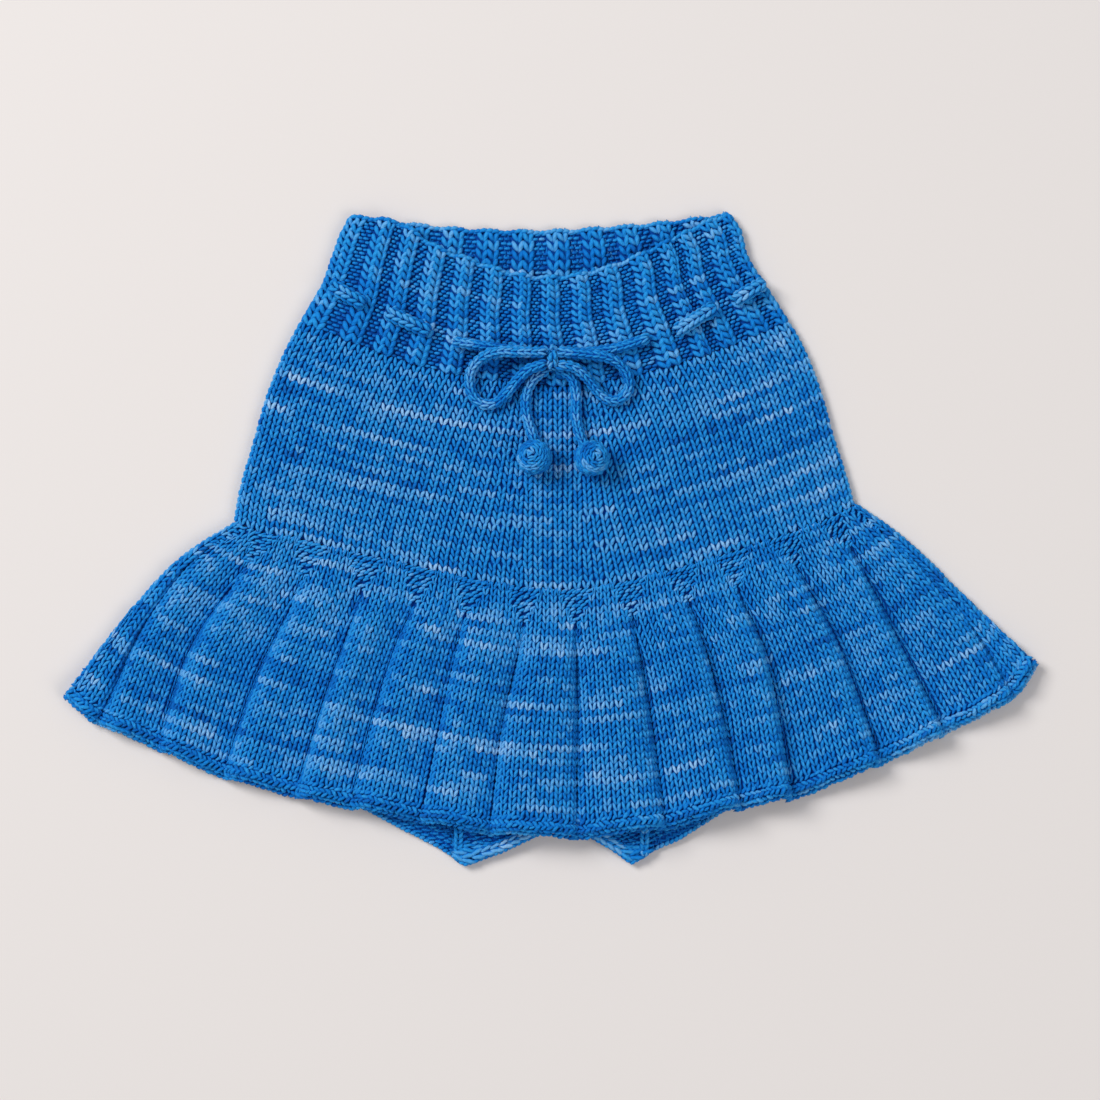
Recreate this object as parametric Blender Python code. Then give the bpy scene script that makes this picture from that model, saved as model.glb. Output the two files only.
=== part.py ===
"""Knitted child's skirt with shorts, laid flat on its back.

The waist points to +Y, the hem to -Y and the front faces up. The origin is
under the middle of the whole garment, on the surface that it lies on.
Sizes and tables are in millimetres, and meshes are made in metres.
"""
from collections import namedtuple

import bmesh
import bpy
import numpy as np

MM = 0.001

# Cloth and the way that the layers lie on each other
WALL = 2.4                 # thickness of the knitted cloth
SHORTS_WALL = 1.8          # the shorts are knitted finer
SEAM_GAP = 0.3             # between pieces that meet or touch
FRONT_LIFT = 3.2           # how far the front stands off the back in the middle
EDGE_ROUND = 0.010         # share of the width over which a side edge is rounded
SIDE_FULLNESS = 6.0        # how flat the front stays before it turns down at the sides
EDGE_THIN = 0.4            # share of the wall's thickness at the very edge

# Ribbing of the waistband, two knit and two purl
RIB_HEIGHT = 1.2
BACK_RIB_HEIGHT = 1.0
# Middles of the ribs, in shares of the width, with one beyond each side edge
FRONT_RIBS = (-0.060, 0.013, 0.098, 0.162, 0.229, 0.304, 0.379, 0.454, 0.523, 0.603, 0.678, 0.763,
              0.832, 0.879, 0.946, 1.013)
BACK_RIBS = tuple(n / 11 for n in range(-1, 13))
FRONT_RIB_STEPS = 90       # columns of the mesh across the ribbing
BACK_RIB_STEPS = 66
RIB_STEEPNESS = 1.6        # of the sides of a rib
PANEL_STEPS = 22           # columns of the mesh across the plain body
RIB_ROWS = (0.0, 0.33, 0.66, 1.0)
BODY_ROWS = (0.0, 0.2, 0.4, 0.6, 0.8, 1.0)

# Flounce
PLEAT_HEIGHT = 4.5         # crest over fold on the front
HEM_PLEAT_HEIGHT = 3.8
BACK_FOLD_DEPTH = 1.2      # how far the folds of the back stand off the surface
BACK_FOLD_AT_HEM = 0.3     # share of that depth left where the hem rolls
NECK_HEIGHT = 0.8          # height of a pleat where it leaves the seam
PLEATS_OPEN = 0.32         # share of the way down by which the pleats have their full shape
PLEATS_FLATTEN = (0.6, 0.9)  # shares of the way down between which they sink to the hem's height
FLAT_CREST = 0.6           # share of a back panel that lies flat on the surface
STRIP_HEIGHT = 0.75        # of the narrow strips at the sides, as a share of a pleat's
ROLL_HEIGHT = 2.8          # of the rolled hem over the wall's own thickness
BACK_ROLL_HEIGHT = 2.2
BACK_HEM_SHORTER = 5.0     # the back hem lies this far inside the front hem
LAYERED_LIFT = 7.9         # underside of the front flounce where the shorts lie under it
LAYERED_HEM_LIFT = 9.6
PLAIN_LIFT = 4.2           # underside of the front flounce beside the shorts
PLAIN_HEM_LIFT = 5.4
SHORTS_ZONE = (92.0, 128.0)  # half widths between which the flounce comes down beside the shorts
FLOUNCE_LENGTH = 110.0
LIFT_BY = 0.14             # share of the way down by which the shorts are under the flounce
HEM_LIFT = (0.74, 0.9)     # shares of the way down between which it climbs over the back's roll

# Shorts
SHORTS_START = 17.0        # below the seam
SHORTS_BED = 3.7           # underside of the shorts inside the flounce
SHORTS_OVER_HEM = 5.4      # underside where they cross the rolled hem of the back
SHORTS_REST = 0.0          # underside at their tips
SHORTS_CLIMB = (15.5, 9.5)  # distances inside the back hem between which they climb over it
SHORTS_FALL = (-1.0, -18.0)  # distances inside the back hem between which they come down
SHORTS_FRONT_X = (-43.0, 44.3)  # outer folds of the front of the legs
SHORTS_ROWS = (0.0, 0.35, 0.7, 0.8, 0.87, 0.94, 1.0)

# Drawstring
CORD = 5.4                 # diameter of the knitted cord
CORD_STEP = 4.6            # distance between the points of its tubes
KNOT = (0.6, 81.0, 15.4)
KNOT_RADII = (4.2, 5.2, 5.6)
BALL_RADIUS = 7.7

# Colours of the yarn, as linear values
YARN_BLUE = (0.013, 0.135, 0.400, 1.0)
SHADED_BLUE = (0.010, 0.105, 0.330, 1.0)
YARN_ROUGHNESS = 0.85

Side = namedtuple("Side", "y left right")
SIDES = [
    Side(147.0, -89.5, 80.5),
    Side(142.0, -92.5, 84.4),
    Side(128.5, -97.9, 88.4),
    Side(115.0, -102.8, 96.5),
    Side(101.7, -110.5, 105.1),
    Side(88.0, -118.1, 113.2),
    Side(74.7, -124.0, 119.0),
    Side(61.0, -128.9, 123.5),
    Side(47.7, -132.5, 127.1),
    Side(34.0, -136.6, 131.6),
    Side(20.7, -140.2, 135.6),
    Side(7.0, -142.4, 139.0),
]

Point = namedtuple("Point", "x y")
FRONT_WAIST = [
    Point(-90.2, 145.4), Point(-76.7, 144.5), Point(-66.4, 141.4), Point(-54.7, 133.4),
    Point(-33.5, 125.1), Point(-17.3, 119.9), Point(1.1, 118.2), Point(21.8, 121.4),
    Point(41.6, 128.7), Point(59.2, 137.3), Point(67.3, 141.5), Point(80.8, 147.0),
]
BACK_WAIST = [
    Point(-90.2, 145.4), Point(-72.2, 143.6), Point(-45.2, 140.6), Point(-9.2, 139.3),
    Point(26.8, 140.9), Point(62.8, 144.4), Point(80.8, 147.0),
]
RIB_EDGE = [
    Point(-112.7, 98.5), Point(-90.2, 89.5), Point(-61.0, 79.2), Point(-22.7, 72.0),
    Point(-0.2, 69.8), Point(22.3, 71.4), Point(42.5, 75.4), Point(82.6, 88.2),
    Point(107.0, 98.5),
]
SEAM = [
    Point(-142.0, 8.6), Point(-133.9, 5.0), Point(-112.7, 1.0), Point(-93.4, -4.1),
    Point(-69.5, -9.2), Point(-45.7, -14.7), Point(-20.0, -19.6), Point(4.3, -21.8),
    Point(25.0, -20.0), Point(39.8, -16.6), Point(62.3, -10.8), Point(87.1, -3.2),
    Point(109.1, 4.1), Point(131.6, 13.0), Point(138.4, 16.6),
]
HEM = [
    Point(-218.9, -70.7), Point(-207.2, -80.0), Point(-189.2, -87.8), Point(-171.2, -95.9),
    Point(-144.2, -106.4), Point(-117.2, -113.9), Point(-94.7, -118.2), Point(-60.5, -124.6),
    Point(-38.0, -129.2), Point(-12.8, -131.6), Point(10.1, -132.6), Point(40.3, -130.0),
    Point(59.2, -126.6), Point(80.8, -120.3), Point(106.0, -115.4), Point(122.2, -110.6),
    Point(143.8, -102.0), Point(161.8, -93.9), Point(179.8, -85.2), Point(197.8, -76.1),
    Point(212.6, -66.1), Point(218.9, -55.8),
]
SHORTS_HEM = [
    Point(-92.5, -116.6), Point(-67.7, -130.1), Point(-49.7, -139.4), Point(-38.5, -147.1),
    Point(-22.7, -141.3), Point(-2.5, -131.4), Point(7.0, -127.0), Point(17.8, -133.7),
    Point(29.0, -140.4), Point(36.7, -146.3), Point(44.8, -141.2), Point(58.3, -135.2),
    Point(69.5, -127.8), Point(79.9, -121.1),
]

# One row for each fold between two panels, from the left side edge to the right one:
# where it starts at the seam, two places on the way, and where it ends at the hem
Fold = namedtuple("Fold", "seam_x top_x top_y mid_x mid_y hem_x")
FOLDS = [
    Fold(-142.0, -164.9, -6.3, -190.6, -33.3, -218.9),
    Fold(-139.0, -157.7, -5.1, -178.6, -30.3, -204.1),
    Fold(-128.9, -135.2, -8.6, -160.9, -45.9, -176.8),
    Fold(-107.3, -111.4, -15.8, -133.4, -64.4, -147.5),
    Fold(-82.1, -84.8, -21.2, -100.1, -67.1, -115.0),
    Fold(-58.3, -60.1, -25.2, -68.2, -44.6, -90.2),
    Fold(-35.3, -37.1, -28.8, -41.2, -44.6, -58.7),
    Fold(-11.9, -11.9, -32.4, -21.8, -83.7, -27.6),
    Fold(11.5, 11.5, -33.8, 11.9, -82.4, 11.9),
    Fold(35.3, 36.7, -32.4, 42.1, -65.3, 51.6),
    Fold(58.7, 61.4, -24.8, 70.0, -50.4, 85.4),
    Fold(81.2, 84.8, -23.9, 93.8, -44.6, 108.4),
    Fold(105.1, 110.0, -9.9, 128.5, -44.6, 149.0),
    Fold(127.6, 132.5, 1.8, 154.1, -40.1, 177.5),
    Fold(136.4, 156.5, -1.3, 183.5, -29.0, 209.0),
    Fold(138.4, 160.0, 0.5, 187.9, -26.5, 218.9),
]
FIRST_PLEAT, LAST_PLEAT = 1, 13    # the narrow strips outside these turn under at the sides
PLEAT_COLUMNS = (0.0, 0.07, 0.22, 0.5, 0.78, 0.93)
STRIP_COLUMNS = (0.0, 0.12, 0.45, 0.8)
FRONT_ROWS = (0.0, 0.1, 0.2, 0.42, 0.72)
BACK_ROWS = (0.0, 0.15, 0.42, 0.72)

# The rolled hem, from where it starts to the end of the cloth:
# distance from the end, and share of its height over the wall's own thickness
Roll = namedtuple("Roll", "distance height")
ROLL = [Roll(8.5, 0.0), Roll(6.4, 0.8), Roll(3.2, 1.0), Roll(0.9, 0.55), Roll(0.0, -0.25)]

Route = namedtuple("Route", "x y z")
RUN_LEFT = [
    Route(-41.6, 89.1, 12.4), Route(-31.7, 87.6, 12.5), Route(-20.5, 86.0, 12.5),
    Route(-11.0, 84.6, 12.5), Route(-4.0, 83.4, 12.5),
]
RUN_RIGHT = [
    Route(5.3, 83.2, 12.5), Route(15.5, 84.4, 12.5), Route(27.7, 86.0, 12.5),
    Route(35.8, 88.2, 12.5), Route(42.1, 90.5, 12.4),
]
LOOP_LEFT = [
    Route(-4.0, 84.3, 18.4), Route(-13.0, 84.3, 18.4), Route(-23.0, 84.4, 18.0),
    Route(-30.0, 82.3, 16.2), Route(-34.6, 78.0, 13.8), Route(-36.3, 72.2, 12.3),
    Route(-35.2, 66.2, 11.4), Route(-31.2, 61.9, 11.3), Route(-25.9, 61.4, 11.3),
    Route(-20.4, 65.4, 11.8), Route(-15.0, 71.6, 14.5), Route(-9.6, 76.6, 17.6),
    Route(-4.0, 78.5, 18.4),
]
LOOP_RIGHT = [
    Route(5.3, 84.3, 18.4), Route(11.0, 83.9, 18.4), Route(18.6, 83.2, 18.1),
    Route(25.5, 82.0, 17.3), Route(31.2, 78.9, 15.0), Route(35.0, 73.4, 12.9),
    Route(34.6, 67.2, 11.5), Route(30.0, 63.0, 11.3), Route(24.4, 64.2, 11.5),
    Route(19.8, 68.8, 13.2), Route(15.4, 74.0, 16.0), Route(10.6, 77.5, 18.0),
    Route(5.3, 78.5, 18.4),
]
TAIL_LEFT = [
    Route(-2.6, 76.4, 12.6), Route(-7.4, 73.0, 12.5), Route(-10.6, 66.6, 11.5),
    Route(-11.0, 59.0, 11.3), Route(-9.7, 52.7, 11.3), Route(-7.4, 46.0, 12.2),
]
TAIL_RIGHT = [
    Route(4.6, 76.8, 12.6), Route(9.7, 73.0, 12.5), Route(11.5, 65.7, 11.5),
    Route(11.5, 56.0, 11.3), Route(12.9, 48.5, 11.3), Route(15.0, 43.9, 12.0),
]
BALLS = {"ball_left": Point(-7.2, 37.5), "ball_right": Point(18.5, 37.1)}

# Stretches of the drawstring that show between two ribs: both ends
Stretch = namedtuple("Stretch", "name x0 y0 x1 y1")
STRETCHES = [
    Stretch("stretch_left_outer", -97.0, 113.9, -84.4, 106.7),
    Stretch("stretch_left_inner", -72.2, 102.2, -55.1, 94.1),
    Stretch("stretch_right_inner", 56.5, 94.1, 73.6, 104.9),
    Stretch("stretch_right_outer", 83.5, 108.5, 95.4, 115.7),
]


def remove_everything():
    for item in list(bpy.context.scene.objects):
        bpy.data.objects.remove(item, do_unlink=True)


def smooth(known_x, known_y, x):
    """Height at x of a smooth curve through the known points."""
    known_x = np.asarray(known_x, float)
    known_y = np.asarray(known_y, float)
    slope = np.gradient(known_y, known_x)
    i = int(np.clip(np.searchsorted(known_x, x) - 1, 0, len(known_x) - 2))
    width = known_x[i + 1] - known_x[i]
    t = float(np.clip((x - known_x[i]) / width, 0.0, 1.0))
    start = (1 + 2 * t) * (1 - t) ** 2 * known_y[i] + t * (1 - t) ** 2 * width * slope[i]
    end = t * t * (3 - 2 * t) * known_y[i + 1] + t * t * (t - 1) * width * slope[i + 1]
    return start + end


def height_on(points, x):
    """The y of an edge at x."""
    return smooth([p.x for p in points], [p.y for p in points], x)


def side_at(y):
    """Left and right x of the garment at y, down to the seam."""
    rows = SIDES[::-1]
    heights = [row.y for row in rows]
    left = smooth(heights, [row.left for row in rows], y)
    right = smooth(heights, [row.right for row in rows], y)
    return left, right


def fullness(u):
    """1 in the middle of the garment, 0 at its side edges."""
    return 1.0 - abs(2 * u - 1) ** SIDE_FULLNESS


def edge_share(u):
    """Share of the wall's thickness at u, less where the side edge is rounded."""
    inward = min(u, 1 - u, EDGE_ROUND) / EDGE_ROUND
    return EDGE_THIN + (1 - EDGE_THIN) * inward ** 0.5


def rib_share(u, ribs):
    """0 in the purl furrow and 1 on the knit rib."""
    wave = 0.5 + 0.5 * np.cos(2 * np.pi * np.interp(u, ribs, range(len(ribs))))
    return float(np.clip(0.5 + RIB_STEEPNESS * (wave - 0.5), 0.0, 1.0))


def material(name, colour):
    made = bpy.data.materials.new(name)
    made.use_nodes = True
    shader = made.node_tree.nodes["Principled BSDF"]
    shader.inputs["Base Color"].default_value = colour
    shader.inputs["Roughness"].default_value = YARN_ROUGHNESS
    shader.inputs["Metallic"].default_value = 0.0
    made.diffuse_color = colour
    return made


def finish(made, name, colour, collection):
    """Name an object, give it its own material and keep it with the other pieces."""
    made.name = name
    made.data.name = name
    made.data.materials.clear()
    made.data.materials.append(material(name + "_yarn", colour))
    for holder in list(made.users_collection):
        holder.objects.unlink(made)
    collection.objects.link(made)
    return made


def wall(name, outer, inner, colour, collection):
    """Closed wall of cloth between two grids of points, given as rows of (x, y, z)."""
    rows, columns = len(outer), len(outer[0])
    mesh = bmesh.new()
    sheets = []
    for grid in (outer, inner):
        sheets.append([[mesh.verts.new([c * MM for c in point]) for point in row] for row in grid])
    front, back = sheets
    for r in range(rows - 1):
        for c in range(columns - 1):
            mesh.faces.new((front[r][c], front[r + 1][c], front[r + 1][c + 1], front[r][c + 1]))
            mesh.faces.new((back[r][c], back[r][c + 1], back[r + 1][c + 1], back[r + 1][c]))
    border = [(0, c) for c in range(columns)]
    border += [(r, columns - 1) for r in range(1, rows)]
    border += [(rows - 1, c) for c in range(columns - 2, -1, -1)]
    border += [(r, 0) for r in range(rows - 2, 0, -1)]
    for (r0, c0), (r1, c1) in zip(border, border[1:] + border[:1]):
        mesh.faces.new((front[r0][c0], front[r1][c1], back[r1][c1], back[r0][c0]))
    bmesh.ops.triangulate(mesh, faces=mesh.faces)
    data = bpy.data.meshes.new(name)
    mesh.to_mesh(data)
    mesh.free()
    data.shade_smooth()
    made = bpy.data.objects.new(name, data)
    bpy.context.scene.collection.objects.link(made)
    return finish(made, name, colour, collection)


def tube_panel(top_edge, bottom_edge, ends, u, t):
    """Point at share u across and t down a panel of the waistband or the body."""
    (left_top, right_top), (left_bottom, right_bottom) = ends
    left = side_at(left_top + (left_bottom - left_top) * t)[0]
    right = side_at(right_top + (right_bottom - right_top) * t)[1]
    first_left, last_left = side_at(left_top)[0], side_at(left_bottom)[0]
    first_right, last_right = side_at(right_top)[1], side_at(right_bottom)[1]
    top = height_on(top_edge, first_left + (first_right - first_left) * u)
    bottom = height_on(bottom_edge, last_left + (last_right - last_left) * u)
    return left + (right - left) * u, top + (bottom - top) * t


def panel_columns(steps):
    """Shares across a panel, closer together at the rounded side edges."""
    inside = [k / steps for k in range(1, steps)]
    return [0.0, EDGE_ROUND * 0.3] + inside + [1 - EDGE_ROUND * 0.3, 1.0]


def front_panel(name, top_edge, bottom_edge, ends, rows, steps, ribs, collection):
    outer, inner = [], []
    for t in rows:
        outer_row, inner_row = [], []
        for u in panel_columns(steps):
            x, y = tube_panel(top_edge, bottom_edge, ends, u, t)
            inside = WALL + SEAM_GAP + FRONT_LIFT * fullness(u)
            raised = RIB_HEIGHT * rib_share(u, ribs) * fullness(u) if ribs else 0.0
            outer_row.append((x, y, inside + WALL * edge_share(u) + raised))
            inner_row.append((x, y, inside))
        outer.append(outer_row)
        inner.append(inner_row)
    wall(name, outer, inner, YARN_BLUE, collection)


def back_panel(name, top_edge, bottom_edge, ends, rows, steps, ribs, collection):
    upper, lower = [], []
    for t in rows:
        upper_row, lower_row = [], []
        for u in panel_columns(steps):
            x, y = tube_panel(top_edge, bottom_edge, ends, u, t)
            raised = BACK_RIB_HEIGHT * rib_share(u, ribs) * fullness(u) if ribs else 0.0
            upper_row.append((x, y, WALL + raised))
            lower_row.append((x, y, WALL * (1 - edge_share(u))))
        upper.append(upper_row)
        lower.append(lower_row)
    wall(name, upper, lower, YARN_BLUE, collection)


def lowered(points, distance):
    return [Point(p.x, p.y - distance) for p in points]


def make_waistband_and_body(collection):
    left_seam, right_seam = SEAM[0].y, SEAM[-1].y
    rib_end = RIB_EDGE[0].y
    waist = ((FRONT_WAIST[0].y, FRONT_WAIST[-1].y), (rib_end, rib_end))
    below = ((rib_end - SEAM_GAP, rib_end - SEAM_GAP), (left_seam, right_seam))
    body_top = lowered(RIB_EDGE, SEAM_GAP)
    front_panel("waistband_front", FRONT_WAIST, RIB_EDGE, waist, RIB_ROWS,
                FRONT_RIB_STEPS, FRONT_RIBS, collection)
    back_panel("waistband_back", BACK_WAIST, RIB_EDGE, waist, RIB_ROWS,
               BACK_RIB_STEPS, BACK_RIBS, collection)
    front_panel("body_front", body_top, SEAM, below, BODY_ROWS, PANEL_STEPS, None, collection)
    back_panel("body_back", body_top, SEAM, below, BODY_ROWS, PANEL_STEPS, None, collection)


def fold_point(fold, v, hem_shorter):
    """Point at share v of the way down a fold, from the seam to the hem."""
    seam_y = height_on(SEAM, fold.seam_x) - SEAM_GAP
    hem_y = height_on(HEM, fold.hem_x) + hem_shorter
    xs = [fold.seam_x, fold.top_x, fold.mid_x, fold.hem_x]
    ys = [seam_y, fold.top_y, fold.mid_y, hem_y]
    steps = np.hypot(np.diff(xs), np.diff(ys))
    way = np.concatenate([[0.0], np.cumsum(steps)]) / steps.sum()
    return smooth(way, xs, v), smooth(way, ys, v)


def flounce_point(k, s, v, hem_shorter):
    """Point at share s of panel k and share v of the way to the hem."""
    x0, y0 = fold_point(FOLDS[k], v, hem_shorter)
    x1, y1 = fold_point(FOLDS[k + 1], v, hem_shorter)
    x, y = x0 + (x1 - x0) * s, y0 + (y1 - y0) * s
    seam_x = FOLDS[k].seam_x + (FOLDS[k + 1].seam_x - FOLDS[k].seam_x) * s
    seam_ends = [height_on(SEAM, FOLDS[i].seam_x) for i in (k, k + 1)]
    seam_sag = height_on(SEAM, seam_x) - (seam_ends[0] + (seam_ends[1] - seam_ends[0]) * s)
    hem_x = FOLDS[k].hem_x + (FOLDS[k + 1].hem_x - FOLDS[k].hem_x) * s
    hem_ends = [height_on(HEM, FOLDS[i].hem_x) for i in (k, k + 1)]
    hem_sag = height_on(HEM, hem_x) - (hem_ends[0] + (hem_ends[1] - hem_ends[0]) * s)
    return x, y + seam_sag * (1 - v) ** 2 + hem_sag * v ** 2


def pleat_share(k, s, v):
    """Height of a pleat across panel k: 0 in the fold and 1 on its flat crest."""
    if k < FIRST_PLEAT or k > LAST_PLEAT:
        inward = s if k < FIRST_PLEAT else 1 - s
        return STRIP_HEIGHT * np.sin(np.pi * inward) ** 0.7
    opened = min(v / PLEATS_OPEN, 1.0)
    across = abs(2 * s - 1)
    narrow = (1 - across) ** 1.4
    wide = (1 - across ** 4) ** 0.5
    return narrow + (wide - narrow) * opened


def flounce_columns():
    """(panel, share) of each column, and its share of the whole width."""
    made = []
    for k in range(len(FOLDS) - 1):
        inside = FIRST_PLEAT <= k <= LAST_PLEAT
        steps = PLEAT_COLUMNS if inside else STRIP_COLUMNS
        if k < FIRST_PLEAT:
            steps = [0.0] + [1 - s for s in STRIP_COLUMNS[:0:-1]]
        made += [(k, s) for s in steps]
    made.append((len(FOLDS) - 2, 1.0))
    return made


def width_share(k, s, v):
    x = flounce_point(k, s, v, 0.0)[0]
    left, right = fold_point(FOLDS[0], v, 0.0)[0], fold_point(FOLDS[-1], v, 0.0)[0]
    return float(np.clip((x - left) / (right - left), 0.0, 1.0))


def ease(value, limits):
    """0 at the first limit and beyond, 1 at the second and beyond, smooth between."""
    t = float(np.clip((value - limits[0]) / (limits[1] - limits[0]), 0.0, 1.0))
    return t * t * (3 - 2 * t)


def front_flounce_bed(x, share, v):
    """Underside of the front flounce at its folds."""
    beside = ease(abs(x), SHORTS_ZONE)
    middle = LAYERED_LIFT + (PLAIN_LIFT - LAYERED_LIFT) * beside
    at_hem = LAYERED_HEM_LIFT + (PLAIN_HEM_LIFT - LAYERED_HEM_LIFT) * beside
    at_seam = WALL + SEAM_GAP + FRONT_LIFT
    bed = at_seam + (middle - at_seam) * ease(v, (0.0, LIFT_BY))
    bed += (at_hem - middle) * ease(v, HEM_LIFT)
    edge = WALL + SEAM_GAP + BACK_ROLL_HEIGHT * ease(v, HEM_LIFT)
    return edge + (bed - edge) * fullness(share)


def hem_rows(rows):
    """Shares down the flounce with the height of the rolled hem at each."""
    plain = [(v, 0.0) for v in rows]
    return plain + [(1 - roll.distance / FLOUNCE_LENGTH, roll.height) for roll in ROLL]


def offset_inside(outer, thickness, beds, panels):
    """Points of the inner face: under the pleats along their normals, else straight down."""
    inner = []
    for row, walls, lowest in zip(outer, thickness, beds):
        points = [np.array(p, float) for p in row]
        inner_row = []
        for c, point in enumerate(points):
            before, after = points[max(c - 1, 0)], points[min(c + 1, len(points) - 1)]
            along = after - before
            if not FIRST_PLEAT <= panels[c] <= LAST_PLEAT:
                along[2] = 0.0
            flat = np.hypot(along[0], along[1])
            normal = np.array([-along[2] * along[0] / flat, -along[2] * along[1] / flat, flat])
            normal /= np.linalg.norm(normal)
            x, y, z = point - normal * walls[c]
            inner_row.append((x, y, max(z, lowest[c])))
        inner.append(inner_row)
    return inner


def make_flounce(collection):
    columns = flounce_columns()
    outer, thickness, beds = [], [], []
    for v, roll in hem_rows(FRONT_ROWS):
        height = NECK_HEIGHT + (PLEAT_HEIGHT - NECK_HEIGHT) * ease(v, (0.0, PLEATS_OPEN))
        height += (HEM_PLEAT_HEIGHT - PLEAT_HEIGHT) * ease(v, PLEATS_FLATTEN)
        row, walls, lowest = [], [], []
        for k, s in columns:
            x, y = flounce_point(k, s, v, 0.0)
            share = width_share(k, s, v)
            thick = WALL * edge_share(share) + ROLL_HEIGHT * roll
            lift = height * pleat_share(k, s, v) * fullness(share)
            bed = front_flounce_bed(x, share, v)
            row.append((x, y, bed + thick + lift))
            walls.append(thick)
            lowest.append(bed)
        outer.append(row)
        thickness.append(walls)
        beds.append(lowest)
    inner = offset_inside(outer, thickness, beds, [k for k, s in columns])
    wall("flounce_front", outer, inner, YARN_BLUE, collection)

    upper, lower = [], []
    for v, roll in hem_rows(BACK_ROWS):
        upper_row, lower_row = [], []
        for k, s in columns:
            side_strip = k < FIRST_PLEAT or k > LAST_PLEAT
            shorter = BACK_HEM_SHORTER * fullness(width_share(k, s, v))
            x, y = flounce_point(k, s, v, shorter)
            share = width_share(k, s, v)
            crest = 1.0 if side_strip or abs(2 * s - 1) < FLAT_CREST else pleat_share(k, s, v)
            recess = BACK_FOLD_DEPTH * (1 - crest) * fullness(share) * ease(v, (0.0, PLEATS_OPEN))
            recess *= 1 - (1 - BACK_FOLD_AT_HEM) * ease(v, HEM_LIFT)
            low = recess + WALL * (1 - edge_share(share))
            if roll < 0:
                low = 0.2 * WALL
            upper_row.append((x, y, recess + WALL + BACK_ROLL_HEIGHT * roll))
            lower_row.append((x, y, low))
        upper.append(upper_row)
        lower.append(lower_row)
    wall("flounce_back", upper, lower, SHADED_BLUE, collection)


def shorts_underside(x, y):
    """Height of the shorts: inside the flounce, over the back's rolled hem, then down to rest."""
    inside = y - (height_on(HEM, x) + BACK_HEM_SHORTER)
    climb = ease(inside, SHORTS_CLIMB)
    fall = ease(inside, SHORTS_FALL)
    height = SHORTS_BED + (SHORTS_OVER_HEM - SHORTS_BED) * climb
    return height + (SHORTS_REST - height) * fall


def make_shorts(collection):
    inner_x = [p.x for p in SHORTS_HEM if SHORTS_FRONT_X[0] < p.x < SHORTS_FRONT_X[1]]
    spans = {
        "shorts_back": (sorted([p.x for p in SHORTS_HEM] + list(SHORTS_FRONT_X)), 0.0, SHADED_BLUE),
        "shorts_front": ([SHORTS_FRONT_X[0]] + inner_x + [SHORTS_FRONT_X[1]],
                         SHORTS_WALL + SEAM_GAP, YARN_BLUE),
    }
    for name, (across, raised, colour) in spans.items():
        upper, lower = [], []
        for t in SHORTS_ROWS:
            upper_row, lower_row = [], []
            for x in across:
                top = height_on(SEAM, x) - SHORTS_START
                bottom = float(np.interp(x, [p.x for p in SHORTS_HEM], [p.y for p in SHORTS_HEM]))
                y = top + (bottom - top) * t
                z = shorts_underside(x, y) + raised
                upper_row.append((x, y, z + SHORTS_WALL))
                lower_row.append((x, y, z))
            upper.append(upper_row)
            lower.append(lower_row)
        wall(name, upper, lower, colour, collection)


def smooth_route(route):
    """Evenly spaced points on a smooth curve through the points of a route."""
    known = np.array(route, float)
    steps = np.linalg.norm(np.diff(known, axis=0), axis=1)
    way = np.concatenate([[0.0], np.cumsum(steps)])
    count = max(3, int(round(way[-1] / CORD_STEP)) + 1)
    places = np.linspace(0.0, way[-1], count)
    return [[smooth(way, known[:, axis], place) for axis in range(3)] for place in places]


def cord(name, route, collection):
    curve = bpy.data.curves.new(name, "CURVE")
    curve.dimensions = "3D"
    curve.bevel_depth = CORD / 2 * MM
    curve.bevel_resolution = 2
    curve.use_fill_caps = True
    points = smooth_route(route)
    spline = curve.splines.new("POLY")
    spline.points.add(len(points) - 1)
    for made, point in zip(spline.points, points):
        made.co = (point[0] * MM, point[1] * MM, point[2] * MM, 1.0)
    spline.use_smooth = True
    made = bpy.data.objects.new(name, curve)
    bpy.context.scene.collection.objects.link(made)
    finish(made, name, YARN_BLUE, collection)


def front_face(x, y, ribs=0.0):
    """Height of the front's outer face, or of the tops of its ribs."""
    left, right = side_at(y)
    share = fullness((x - left) / (right - left))
    return WALL + SEAM_GAP + FRONT_LIFT * share + WALL + ribs * share


def make_drawstring(collection):
    cord("run_left", RUN_LEFT, collection)
    cord("run_right", RUN_RIGHT, collection)
    cord("loop_left", LOOP_LEFT, collection)
    cord("loop_right", LOOP_RIGHT, collection)
    cord("tail_left", TAIL_LEFT, collection)
    cord("tail_right", TAIL_RIGHT, collection)
    for stretch in STRETCHES:
        route = []
        for share in (0.0, 0.25, 0.5, 0.75, 1.0):
            x = stretch.x0 + (stretch.x1 - stretch.x0) * share
            y = stretch.y0 + (stretch.y1 - stretch.y0) * share
            z = front_face(x, y, RIB_HEIGHT) + SEAM_GAP + CORD / 2
            route.append(Route(x, y, z))
        cord(stretch.name, route, collection)


def rounded(name, centre, radii, segments, rings, collection):
    """A ball or an oval lump of wound yarn."""
    bpy.ops.mesh.primitive_uv_sphere_add(segments=segments, ring_count=rings, radius=1.0)
    made = bpy.context.active_object
    for vertex in made.data.vertices:
        vertex.co = [(c * r + m) * MM for c, r, m in zip(vertex.co, radii, centre)]
    made.data.shade_smooth()
    finish(made, name, YARN_BLUE, collection)


def make_knot_and_balls(collection):
    rounded("bow_knot", KNOT, KNOT_RADII, 12, 8, collection)
    for name, place in BALLS.items():
        height = front_face(place.x, place.y) + SEAM_GAP + BALL_RADIUS
        rounded(name, (place.x, place.y, height), (BALL_RADIUS,) * 3, 16, 10, collection)


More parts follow.
